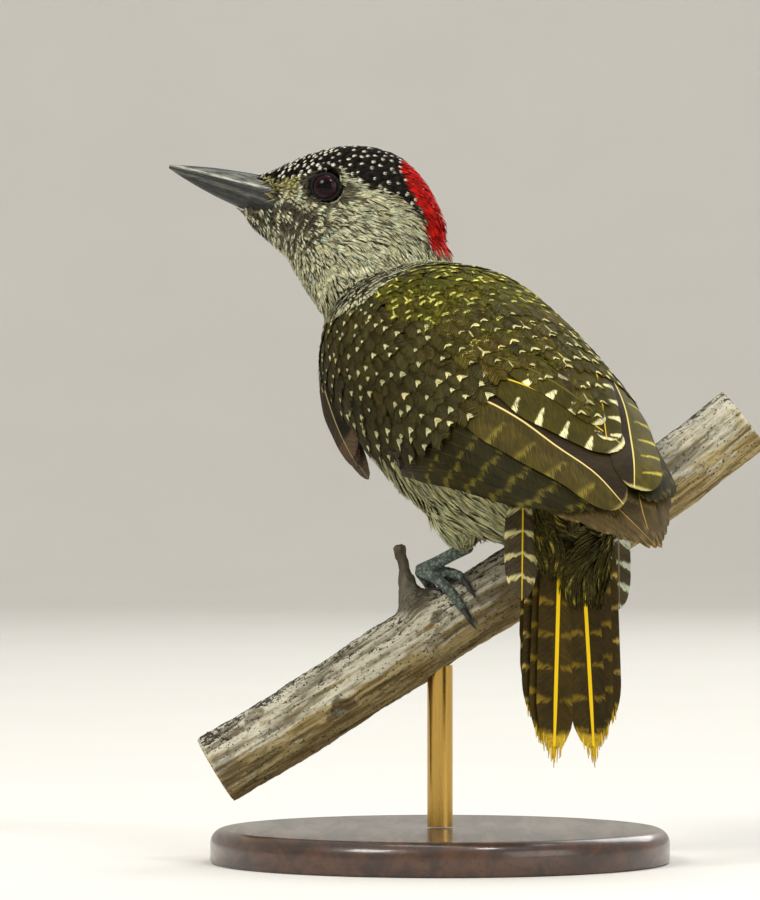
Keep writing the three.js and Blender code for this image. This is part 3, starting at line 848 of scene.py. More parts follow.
def barbed(barbs, seed, blunt=0.3, reach=0.3, gap=0.08):
    """A feather of separate barbs over a thin leaf, as plume gives it."""
    rng = np.random.default_rng(seed)

    def outline(v):
        return np.where(v < blunt, 0.55 + 0.45 * v / blunt,
                        np.sqrt(np.clip(1 - ((v - blunt) / (1.02 - blunt)) ** 2, 0.0, 1)))

    rows = np.array((0.0, 0.18, 0.42, 0.64, 0.8, 0.9))
    points, faces = [], []
    for height in (0.0, -0.03):
        for v in rows:
            half = float(outline(v)) * 0.8
            points += [(-half, v, height - 0.02), (0, v + 0.02, height), (half, v, height - 0.02)]
    size = 3 * len(rows)
    for i in range(len(rows) - 1):
        for j in (0, 1):
            a = 3 * i + j
            faces += [(a, a + 1, a + 4), (a, a + 4, a + 3)]
            faces += [(size + a, size + a + 4, size + a + 1), (size + a, size + a + 3, size + a + 4)]
    rim = [0, 1, 2, *range(5, size, 3), size - 2, *range(size - 3, 0, -3)]
    for a, b in zip(rim, rim[1:] + rim[:1]):
        faces += [(a, size + a, size + b), (a, size + b, b)]
    for side in (-1, 1):
        clump = rng.normal(0, 0.03)
        for k in range(barbs):
            if rng.random() < 0.18:
                clump = rng.normal(0, 0.035)
            v = (k + 0.5 * (side > 0)) / barbs * 0.92 + 0.02
            half = float(outline(v)) * (1 + rng.normal(0, gap))
            ahead = reach * half + clump
            wide = 0.5 / barbs * (0.85 + 0.4 * rng.random())
            lift = rng.random() * 0.03
            start = len(points)
            for t, width in ((0.0, 0.8), (0.7, 1.0)):
                x, y = side * half * t, v + ahead * t ** 1.3
                points += [(x, y - wide * width, lift), (x, y, lift + BARB_HEIGHT * (1 - 0.5 * t)),
                           (x, y + wide * width, lift)]
            points.append((side * half, v + ahead, lift))
            a = start
            new = [(a, a + 1, a + 2), (a, a + 3, a + 4), (a, a + 4, a + 1), (a + 1, a + 4, a + 5),
                   (a + 1, a + 5, a + 2), (a + 2, a + 5, a + 3), (a + 2, a + 3, a), (a + 3, a + 6, a + 4),
                   (a + 4, a + 6, a + 5), (a + 5, a + 6, a + 3)]
            faces += new if side > 0 else [face[::-1] for face in new]
    points = np.array(points)
    points[:, 1] = np.minimum(points[:, 1], 1.0 + 0.02 * rng.random(len(points)))
    return points, np.array(faces), points[:, :2].copy()


MAP_PATCH = 0.003
CAMBER = 0.03


def build(name, places, faces, maps):
    """An object of corners in millimetres and faces, with a map for each name and its values."""
    mesh = bpy.data.meshes.new(name)
    mesh.from_pydata((places * MM).tolist(), [], faces)
    mesh.shade_smooth()
    order = np.array([corner for face in faces for corner in face])
    for map_name, values in maps.items():
        mesh.uv_layers.new(name=map_name).data.foreach_set("uv", values[order].ravel())
    return placed(name, mesh)


def grow(name, tufts, kinds, seed, finish, contrast=0.45, **marks):
    """One piece made of all these tufts. Marks are values or colours for each tuft, read by the finish.

    The contrast paints light and shade into the colours: the raised middles of barbs lighter,
    the gaps between them darker as shade.
    """
    rng = np.random.default_rng(seed)
    pick = rng.integers(0, len(kinds), len(tufts))
    places, faces, across_along, bake, chosen, light = [], [], [], [], [], []
    start = 0
    rows = tufts.centre.shape[1]
    for k, (points, sides, maps) in enumerate(kinds):
        mine = np.flatnonzero(pick == k)
        if not len(mine):
            continue
        v = np.clip(points[:, 1], 0, 1.0) * (rows - 1)
        low = np.minimum(v.astype(int), rows - 2)
        t = (v - low)[None, :, None]
        over = np.clip(points[:, 1] - 1, 0, 1)

        def between(table):
            return table[mine][:, low] * (1 - t) + table[mine][:, low + 1] * t

        centre, across, normal = between(tufts.centre), between(tufts.across), between(tufts.normal)
        ahead = np.cross(across, normal)
        x = points[None, :, 0] * tufts.width[mine][:, None] / 2
        height = points[None, :, 2] - CAMBER * x * x
        where = (centre + across * x[:, :, None] + normal * height[:, :, None]
                 + ahead * (over[None, :] * tufts.length[mine][:, None])[:, :, None])
        count, corner_count = where.shape[:2]
        places.append(where.reshape(-1, 3))
        offset = start + np.arange(count)[:, None, None] * corner_count
        faces.append((sides[None, :, ::-1] + offset).reshape(-1, 3))
        across_along.append(np.tile(maps, (count, 1)))
        patch = np.stack([np.clip(maps[:, 0], -1, 1), maps[:, 1] * 2 - 1], axis=1) * MAP_PATCH / 2
        bake.append((tufts.map[mine][:, None] + patch[None]).reshape(-1, 2))
        chosen.append(np.repeat(mine, corner_count))
        # Painted light and shade: corners that stand higher in the tuft get lighter colours, lower ones
        # darker.
        raised = (points[:, 2] - points[:, 2].min()) / np.ptp(points[:, 2])
        light.append(np.tile(1 + contrast * (raised - 0.55), count))
        start += count * corner_count
    chosen = np.concatenate(chosen)
    light = np.concatenate(light)[:, None]
    made = build(name, np.concatenate(places), np.concatenate(faces).tolist(),
                 {"OFBake": np.concatenate(bake), "vane": np.concatenate(across_along)})
    size = np.stack([tufts.width / 2, tufts.length, np.zeros(len(tufts))], axis=1)
    for mark, values in {"size": size, **marks}.items():
        values = np.asarray(values, float)[chosen]
        write(made, mark, values * light if mark in ("ground", "margin", "mark") else values)
    made.data.materials.append(finish.material)
    return made


def shades(rng, count, colour, light=0.16, warm=0.05):
    """The same colour for each tuft, a little lighter or darker, warmer or cooler."""
    base = np.tile(np.array(colour), (count, 1))
    level = np.exp(rng.normal(0, light, (count, 1)))
    tilt = rng.normal(0, warm, (count, 1)) * np.array([[1.0, 0.0, -1.0]])
    return np.clip(base * level * (1 + tilt), 0, 1)


def marking(count, rng, spot=0.0, place=0.0, streak=0.0):
    """The mark on each feather: spot radius, its distance from the tip, streak half width; and a seed."""
    parts = [np.broadcast_to(part, (count,)) for part in (spot, place, streak)]
    return np.stack([*parts, rng.random(count)], axis=1)


def feather_finish(name, spot_ratio, streak_from=0.4, streak_to=5.0, barbs=1.0, gleam=0.0, fan=0.0,
                   fine=3.6):
    """Ground colour and margin, with a streak down the shaft, a spot near the tip, or both.

    Sizes are in millimetres. A spot is longer than wide by its ratio, and a fanned one widens to the tip.
    """
    made = Finish(name, Roughness=0.6, Specular_IOR_Level=0.14)
    u, v, _ = made.parts(made.map("vane"))
    half_width, length, _ = made.parts(made.read("size"))
    spot, spot_place, streak = made.parts(made.read("form"))
    seed = made.read("form", "Alpha")
    x = u * half_width
    y = (1.0 - v) * length
    wide = abs(x)
    slant = y + wide * 0.9
    barb = made.noise(made.join(x * (0.25 * fine), slant * fine, seed * 37.0), 1.0, 2.0, 0.6)
    off = barb - 0.5
    edge = made.step(made.larger(abs(u), 1.0 - y), 0.5, 0.95)
    if gleam:
        edge = made.larger(edge, made.step(barb, 0.48, 0.78, 0.0, gleam))
    colour = made.blend(edge, made.read("ground"), made.read("margin"))
    in_streak = made.step(wide + off * 0.25 - streak, -0.05, 0.12, 1.0, 0.0)
    in_streak *= made.step(y, streak_from - 0.3, streak_from + 0.3)
    in_streak *= made.step(y, streak_to, streak_to + 1.5, 1.0, 0.0)
    in_streak *= made.step(streak, 0.0, 0.04)
    aside = x + (seed - 0.5) * 0.6
    below = y - spot_place
    if fan:
        aside += below * ((seed - 0.5) * fan)
        aside *= made.larger(below * fan + 1.0, 0.45)
    along_spot = below / spot_ratio
    lumps = made.noise(made.join(x * 1.3, y * 1.3, seed * 53.0), 1.0, 1.0)
    far = made.math("SQRT", aside * aside + along_spot * along_spot) + off * 0.3 + (lumps - 0.5) * 0.45
    in_spot = made.step(far - spot, -0.08, 0.1, 1.0, 0.0) * made.step(spot, 0.02, 0.1)
    colour = made.blend(made.larger(in_streak, in_spot), colour, made.read("mark"))
    level = made.step(barb, 0.25, 0.75, 1 - 0.22 * barbs, 1 + 0.2 * barbs)
    # The part of each feather nearer its root is painted darker, as shade under the feathers that lie over
    # it.
    made.set("Base Color", made.shaded(colour, level * made.step(v, 0.0, 0.45, 0.7, 1.0)))
    made.relief(barb, 0.3 * barbs, 0.00012)
    return made


# -------------------------------------------------------------------- head
# Short close feathers: a black crown with small white dots, the female's narrow red band of long hair-like
# feathers on the nape, and a pale face with fine dark streaks.
CROWN_EDGE = ((-16, 2.5), (-14.5, 3.6), (-9.5, 5.2), (-3, 5.0), (0, 5.6), (3, 7.0), (6, 6.4), (8, 5.2),
              (12, 3.7), (14, 3.0), (17.3, 1.4), (20, 0.4), (24, -1.0))
NAPE_EDGE = ((-10, -24.5), (-6, -23.4), (-2.5, -21), (2.5, -17), (7, -12.2), (11, -8.6), (14, -6.8), (16, -6))
BILL_EDGE = ((-12, 30), (-8.4, 29), (-7.8, 24), (-7.2, 20), (-6.4, 17.8), (-5, 17), (-2.5, 16.2), (-1.2, 18),
             (0, 21), (2, 22.8), (6, 24))
EYE_AT = (5.5, 8.0, 2.3)


def edge_at(edge, x):
    """Where an edge given by points lies at x."""
    table = np.array(edge)
    return np.interp(x, table[:, 0], table[:, 1])


def nape_depth(seen):
    """How far behind the red band's front edge, in millimetres."""
    return edge_at(NAPE_EDGE, seen[:, 2]) - seen[:, 0]


def is_nape(places):
    seen = head_frame.seen(places)
    return (nape_depth(seen) > 0) & (np.abs(seen[:, 1]) < 9.5) & (seen[:, 2] > -3)


def is_crown(places):
    seen = head_frame.seen(places)
    return (seen[:, 2] > edge_at(CROWN_EDGE, seen[:, 0])) & (seen[:, 0] > -19) & ~is_nape(places)


def on_head(places):
    seen = head_frame.seen(places)
    near = np.linalg.norm(seen - np.array((0, 0, -2)), axis=1) < 24.5
    return near | ((seen[:, 0] > 15) & (seen[:, 0] < 29))


def eye_gap(seen):
    """The distance from the eye's axis."""
    return np.hypot(seen[:, 0] - EYE_AT[0], seen[:, 2] - EYE_AT[2])


def clear_of_eye(places, radius):
    return eye_gap(head_frame.seen(places)) > radius


def clear_of_bill(places):
    seen = head_frame.seen(places)
    top = (seen[:, 2] > 0) & (seen[:, 0] < 23.2)
    return (seen[:, 0] < edge_at(BILL_EDGE, seen[:, 2])) | (top & (np.abs(seen[:, 1]) < 3))


plumage = feather_finish("head_plumage", spot_ratio=1.15, streak_from=0.3, streak_to=2.6)
white_dot = np.array(paint(232, 228, 208))

rng = np.random.default_rng(11)
crown_roots = body_guide.scatter(1.0, 11, lambda p: is_crown(p) & clear_of_eye(p, 4.2) & clear_of_bill(p))
seen = head_frame.seen(crown_roots)
count = len(crown_roots)
crown = Tufts(body_guide, crown_roots, 2.0 + 1.6 * ramp(-seen[:, 0], -18, 10), 1.8,
              turn=rng.normal(0, 0.14, count), depth=0.6, rise=0.15 * rng.random(count))
dotted = np.zeros(count)
between_dots = 1.1 + 0.5 * ramp(-seen[:, 0], -14, -2)
taken = []
for k in rng.permutation(count):
    if all(math.dist(crown_roots[k], crown_roots[j]) > between_dots[k] for j in taken):
        taken.append(k)
        dotted[k] = 1
ground = shades(rng, count, paint(27, 23, 17), 0.25)
form = marking(count, rng, dotted * rng.uniform(0.34, 0.6, count), 0.75)
crown_feathers = grow("crown_feathers", crown, [plume(8, s + 20, 1.0, 0.3, 0.12) for s in range(6)], 12,
                      plumage, ground=ground, margin=ground * 1.2, mark=np.tile(white_dot, (count, 1)),
                      form=form)
ride_root(crown_feathers, "head_plumage")

rng = np.random.default_rng(21)
nape_roots = body_guide.scatter(1.25, 21, is_nape)
seen = head_frame.seen(nape_roots)
lower = ramp(-seen[:, 2], -8, 4)
count = len(nape_roots)
nape = Tufts(body_guide, nape_roots, 4.0 + 2.4 * lower * rng.uniform(0.7, 1.2, count), 1.8,
             turn=rng.normal(0, 0.14, count), depth=0.9, rise=0.15 + 1.1 * lower * rng.random(count))
red = shades(rng, count, paint(200, 18, 6), 0.22, 0.04)
nape_feathers = grow("nape_feathers", nape, [plume(7, s, 0.9, 0.3, 0.35) for s in range(5)], 22, plumage,
                     ground=red, margin=red * np.array((1.1, 1.5, 1.0)), mark=red * 0.45,
                     form=marking(count, rng, streak=0.2 * rng.random(count)))
ride_root(nape_feathers, "head_plumage")

rng = np.random.default_rng(31)
face_roots = body_guide.scatter(1.0, 31, lambda p: on_head(p) & ~is_crown(p) & ~is_nape(p)
                                & clear_of_eye(p, 3.7) & clear_of_bill(p))
seen = head_frame.seen(face_roots)
count = len(face_roots)
on_bill = ramp(seen[:, 0], 18, 22)
face = Tufts(body_guide, face_roots, 2.1 + 2.6 * ramp(-seen[:, 0], -14, 8), 1.6,
             turn=rng.normal(0, 0.2, count), depth=0.7 * (1 - on_bill) - 0.1 * on_bill,
             rise=0.2 * rng.random(count) + 0.5 * on_bill)
mottled = ramp(seen[:, 0], 2, 8) * ramp(-seen[:, 2], 3, 5) * (1 - ramp(-seen[:, 2], 11, 15))
lores = ramp(seen[:, 0], 12, 14) * ramp(seen[:, 2], -3, -0.5)
near_eye = 1 - ramp(np.hypot((seen[:, 0] - 8.2) * 0.85, seen[:, 2] - 3.4), 3.9, 5.2)
near_eye = np.maximum(near_eye, 0.85 * (1 - ramp(eye_gap(seen), 4.0, 4.9)))
behind_eye = 1 - ramp(np.hypot((seen[:, 0] - 0.5) * 0.6, seen[:, 2] - 1.8), 1.2, 2.6)
below_crown = edge_at(CROWN_EDGE, seen[:, 0]) - seen[:, 2]
brow = (1 - ramp(below_crown, 0.9, 2.0)) * (1 - ramp(seen[:, 0], 4, 6)) * ramp(seen[:, 0], -7, -5)
hem = (1 - ramp(np.abs(-nape_depth(seen) - 0.9), 0.4, 1.8)) * ramp(seen[:, 2], -9, -3)
rear_crown = (1 - ramp(below_crown, 0.2, 1.8)) * ramp(-seen[:, 0], 3, 6)
darkness = np.clip(0.05 + 0.56 * mottled + 0.85 * near_eye + 0.5 * behind_eye + 0.5 * hem + 0.5 * rear_crown
                   - 0.5 * brow, 0, 0.95)
is_dark = rng.random(count) < darkness
pale = shades(rng, count, paint(196, 195, 161), 0.14, 0.04)
yellowish = np.array(paint(176, 166, 84))
pale = pale * (1 - 0.8 * lores[:, None]) + yellowish * 0.8 * lores[:, None]
grey = shades(rng, count, paint(100, 96, 76), 0.25)
grey = grey * (1 - 0.5 * near_eye[:, None]) * (1 - 0.5 * mottled[:, None])
dark = shades(rng, count, paint(48, 44, 31), 0.25)
ground = np.where(is_dark[:, None], grey, pale)
margin = np.where(is_dark[:, None], grey * 1.5, pale)
is_streaked = (rng.random(count) < 0.6 + 0.3 * mottled) & ~is_dark
streak = np.where(is_streaked, rng.uniform(0.08, 0.21, count), 0.0) * (1 - 0.7 * brow)
face_feathers = grow("face_feathers", face, [plume(7, s + 40, 1.0, 0.35, 0.3) for s in range(8)], 32, plumage,
                     ground=ground, margin=margin, mark=dark, form=marking(count, rng, streak=streak))
ride_root(face_feathers, "head_plumage")

# -------------------------------------------------------------------- bristles
# Stiff hairs, dark or straw-coloured, that sweep forward over the nostrils and the gape from the edge of the
# face.
BRISTLES = 70
rng = np.random.default_rng(35)
bristle_roots, bristle_ways = [], []
for k in range(BRISTLES):
    sign = 1 if k % 2 else -1
    high = rng.uniform(-4.5, 2.5)
    start = edge_at(BILL_EDGE, high) - rng.uniform(0, 1.5)
    bristle_roots.append(head_frame.at(start, sign * 5.5, high))
    spread = head_frame.forward * rng.uniform(0.4, 1) + head_frame.up * rng.normal(0.1, 0.4)
    bristle_ways.append(unit(spread + head_frame.left * sign * 0.2))
bristles = Tufts(body_guide, np.array(bristle_roots), rng.uniform(2.2, 4.6, BRISTLES), 0.5, depth=0.1,
                 rise=rng.uniform(0.2, 0.9, BRISTLES), way=np.array(bristle_ways))
is_dark = rng.random((BRISTLES, 1)) < 0.6
ground = np.where(is_dark, np.array(paint(40, 36, 28)), np.array(paint(176, 162, 104)))
bristle_feathers = grow("bristles", bristles, [plume(2, s + 90, 0.35, 0.8, 0.3) for s in range(3)], 36,
                        plumage, ground=ground, margin=ground, mark=ground, form=marking(BRISTLES, rng))
ride_root(bristle_feathers, "head_plumage")

# -------------------------------------------------------------------- neck, breast and belly
# Loose soft feathers, whitish, many with an olive-black streak down the shaft. They are longer and shaggier
# lower down. The coat of the neck begins where the back ends.

# How far forward the back reaches at each angle from its ridge.
FRONT_OF_BACK = ((-127, 62), (-123, 66), (-119, 74), (-114, 78), (-100, 79), (-87, 77.5), (-65, 71),
                 (-52, 67), (-33, 70), (-14, 74.5), (-2, 73), (14, 69), (24, 67.5), (33, 67), (52, 66),
                 (57, 67.5), (63, 70.5), (69, 72.5), (78, 75.5), (87, 77.5), (100, 79), (114, 78),
                 (119, 74), (123, 66), (127, 62))
body_plumage = feather_finish("body_plumage", spot_ratio=2.2, streak_from=0.5, streak_to=4.5)


def front_of_back(phi):
    return edge_at(FRONT_OF_BACK, np.where(phi > -125, phi, -phi))


def is_neck(places):
    s, phi = wing_place(places)
    return (s > front_of_back(phi) + np.where(np.abs(phi) < 100, 1.8, 0)) & ~on_head(places)


def is_belly(places):
    s, phi = wing_place(places)
    return (s > 3) & (s < 68) & (np.abs(phi) > 86)


soft_kinds = [plume(8, s + 60, 1.0, 0.35, 0.3) for s in range(6)]
rng = np.random.default_rng(41)
neck_roots = full_guide.scatter(1.5, 41, is_neck)
count = len(neck_roots)
s, phi = wing_place(neck_roots)
neck_length = np.where(np.abs(phi) < 110, np.clip(s - front_of_back(phi) + 1.4, 3.4, 9), 9)
neck_length = np.minimum(neck_length, rng.uniform(4.6, 6.4, count))
neck = Tufts(full_guide, neck_roots, neck_length, 2.1, rows=6, turn=rng.normal(0, 0.16, count),
             depth=0.9, rise=0.3 + 0.4 * rng.random(count))
at_hem = (1 - ramp(s - front_of_back(phi), 3, 10)) * (np.abs(phi) < 110)
# The neck's feathers near the back's edge are painted lighter, as light laid over the shade they fall in
# there.
pale = shades(rng, count, paint(194, 192, 157), 0.12, 0.04) * (1 + 0.25 * at_hem[:, None])
dark = shades(rng, count, paint(46, 43, 30), 0.2)
streak = np.where(rng.random(count) < 0.7 - 0.3 * at_hem, rng.uniform(0.1, 0.24, count), 0)
streak = streak * (1 - 0.4 * at_hem)
neck_feathers = grow("neck_feathers", neck, soft_kinds, 42, body_plumage, ground=pale, margin=pale,
                     mark=dark, form=marking(count, rng, streak=streak))
ride_root(neck_feathers, "neck_plumage")

rng = np.random.default_rng(43)
belly_roots = body_guide.scatter(1.9, 43, is_belly)
count = len(belly_roots)
belly = Tufts(body_guide, belly_roots, rng.uniform(7.0, 9.5, count), 3.0, rows=6,
              turn=rng.normal(0, 0.16, count), depth=1.4, rise=0.2 + 0.6 * rng.random(count))
pale = shades(rng, count, paint(198, 196, 148), 0.1, 0.04)
dark = shades(rng, count, paint(74, 72, 42), 0.2)
streak = np.where(rng.random(count) < 0.55, rng.uniform(0.14, 0.3, count), 0)
belly_feathers = grow("belly_feathers", belly, soft_kinds, 44, body_plumage, ground=pale, margin=pale,
                      mark=dark, form=marking(count, rng, streak=streak))
ride_root(belly_feathers, "body_plumage")

# -------------------------------------------------------------------- mantle
# Olive-green feathers that overlap down the back, most with a yellow-cream dash near the end. Their barbs
# stand a little apart, so that the edges look frayed.

# The angle that the mantle reaches from the back's ridge, at each distance forward.
MANTLE_EDGE = ((22, 14), (30, 20), (40, 33), (50, 39), (60, 42), (72, 42))
barbed_plumage = feather_finish("mantle_plumage", spot_ratio=0.55, barbs=2.6, streak_from=0.7, streak_to=2.8,
                                gleam=0.85, fine=1.9)


def is_mantle(places):
    s, phi = wing_place(places)
    inside = (np.abs(phi) < edge_at(MANTLE_EDGE, s)) & (s > 24) & (s < front_of_back(phi) + 2.5)
    return inside & ~on_head(places)


rng = np.random.default_rng(51)
mantle_roots = full_guide.scatter(2.05, 51, is_mantle)
s, phi = wing_place(mantle_roots)
count = len(mantle_roots)
forward = ramp(s, 52, 70)
mantle = Tufts(full_guide, mantle_roots, 8.6 - 2.8 * forward, 4.9 - 1.3 * forward, rows=6,
               turn=rng.normal(0, 0.12, count), depth=0.65, rise=0.05 + 0.1 * rng.random(count))
olive = shades(rng, count, paint(82, 78, 18), 0.13, 0.05)
cream = shades(rng, count, paint(214, 208, 108), 0.1)
middle = ramp(s, 24, 36) * (1 - ramp(s, 56, 66))
is_spotted = rng.random(count) < 0.62
spot = np.where(is_spotted, rng.uniform(0.5, 0.85, count) + 0.35 * middle * rng.random(count), 0)
streak = np.where(rng.random(count) < 0.16, 0.16, 0)
mantle_kinds = [barbed(17, s + 80) for s in range(8)]
mantle_feathers = grow("mantle_feathers", mantle, mantle_kinds, 52, barbed_plumage, ground=olive,
                       margin=olive * np.array((1.7, 1.75, 1.5)), mark=cream, contrast=0.75,
                       form=marking(count, rng, spot, 0.8, streak))
ride_root(mantle_feathers, "body_plumage")

# The skin takes its colours here, now that the coat's edges are known.
skin_finish = Finish("skin", Roughness=0.8, Specular_IOR_Level=0.2)
skin_noise = skin_finish.noise(skin_finish.place(), 700.0, 3.0)
skin_tint = skin_finish.read("tint")
skin_finish.set("Base Color", skin_finish.over(skin_tint, paint(70, 62, 46), skin_noise, 0.3, 0.9, 0.0, 0.6))
skin_finish.relief(skin_noise, 0.4, 0.0003)
skin_places = corners(skin)
s, phi = wing_place(skin_places)
tint = np.tile(np.array(paint(150, 146, 122)), (len(skin_places), 1))
tint[(s < front_of_back(phi)) & (np.abs(phi) < 100)] = paint(50, 43, 24)
at_tail = tail_frame.seen(skin_places)
tint[(at_tail[:, 0] > -14) & (at_tail[:, 2] > -3.5)] = paint(44, 40, 16)
tint[is_mantle(skin_places)] = paint(62, 58, 20)
tint[is_crown(skin_places)] = paint(22, 19, 14)
at_head = head_frame.seen(skin_places)
at_bill = (at_head[:, 0] > edge_at(BILL_EDGE, at_head[:, 2]) - 1.0) & (at_head[:, 0] > 14)
tint[at_bill] = paint(34, 35, 32)
tint[is_nape(skin_places)] = paint(130, 14, 8)
write(skin, "tint", tint)
skin.data.materials.append(skin_finish.material)
ride_root(skin, "body_plumage", *FLESH)

# -------------------------------------------------------------------- wing coverts
# Rows of short rounded feathers over the shoulder and the fore wing, dark olive-brown, most with one cream
# spot at the tip. The rear rows are larger, and their spots wider.

# Where the rear row's tips lie at each angle, and the angles between which the coverts lie at each distance.
COVERT_TIPS = ((30, 13), (40, 15.5), (50, 15), (60, 15.5), (71, 17), (83, 20), (95, 24.5), (108, 31.5),
               (120, 40))
COVERT_TOP = ((10, 36), (20, 33), (30, 28), (40, 33), (50, 39), (60, 42), (75, 40))
COVERT_LOW = ((10, 70), (22, 88), (30, 106), (38, 114), (44, 115), (49, 112), (54, 109), (60, 111), (67, 114),
              (72, 118), (76, 125))
wing_plumage = feather_finish("wing_plumage", spot_ratio=1.6, barbs=1.6, gleam=0.45, fan=0.45, fine=2.6)


def covert_roots(rng, sign):
    """Staggered rows of places in the wing, and a table of their distance, angle, length, width and row."""
    found = []
    ahead = 0.0
    for row in range(20):
        gap = max(4.4 - 0.09 * row, 2.9)
        length = 9.5 - 0.26 * row
        wide = 4.5 - 0.06 * row
        step = wide / DEGREE_WIDE
        for k in range(24):
            degrees = 24 + (k + 0.5 * (row % 2)) * step + rng.normal(0, 1.3)
            tip = edge_at(COVERT_TIPS, degrees) + ahead + rng.normal(0, 0.6)
            if edge_at(COVERT_TOP, tip) < degrees < edge_at(COVERT_LOW, tip) and tip < front_of_back(degrees):
                found.append((min(tip + length * 0.96, 92.5), degrees, length, wide * 1.5, row))
        ahead += gap
    table = np.array(found)
    return wing_point(table[:, 0], table[:, 1], 0.3, sign), table


covert_kinds = [barbed(16, s + 100, blunt=0.45, reach=0.22, gap=0.04) for s in range(8)]
for side, sign in SIDES:
    rng = np.random.default_rng(61 if sign > 0 else 62)
    roots, table = covert_roots(rng, sign)
    count = len(roots)
    coverts = Tufts(full_guide, roots, table[:, 2], table[:, 3], rows=6, turn=rng.normal(0, 0.09, count),
                    depth=0.6, rise=0.05 + 0.1 * rng.random(count))
    rear = 1 - ramp(table[:, 4], 0, 11)
    lower = ramp(table[:, 1], 50, 110)
    # The lower coverts and their spots are painted darker, as shade on the wing's lower side.
    ground = shades(rng, count, paint(64, 57, 24), 0.15, 0.06) * (1 - 0.45 * lower[:, None])
    front = ramp(table[:, 0], 62, 80)
    spot = (0.42 + 0.3 * rear - 0.1 * front) * rng.uniform(0.65, 1.3, count) * (rng.random(count) < 0.86)
    made = grow(f"coverts_{side}", coverts, covert_kinds, 63, wing_plumage, ground=ground,
                margin=ground * np.array((1.5, 1.5, 1.3)), contrast=0.6,
                mark=shades(rng, count, paint(222, 216, 160), 0.08) * (1 - 0.3 * lower[:, None]),
                form=marking(count, rng, spot, 0.8 + 0.3 * rear))
    ride_root(made, "wing_coverts", f"wing_{side}_coverts")

# -------------------------------------------------------------------- flight feathers
# Long stiff vanes on a raised shaft, folded one over the next: the primaries lowest, the secondaries on them,
# and three broad tertials on top beside the back.
VANE_MARKS = ("ground", "inner", "bar", "form", "shaft", "tip")
VANE_THICK = 0.12


def vane_marks(ground, inner, bar, strength, spacing, size, reach, seed, shaft, shaft_half,
               tip=(0.5, 0.45, 0.3), tip_length=0.0, inner_strength=1.0, slant=-0.2):
    """The values that one long feather keeps for its finish, four for each of VANE_MARKS."""
    return [*ground, slant, *inner, inner_strength, *bar, strength, spacing, size, reach, seed,
            *shaft, shaft_half, *tip, tip_length]


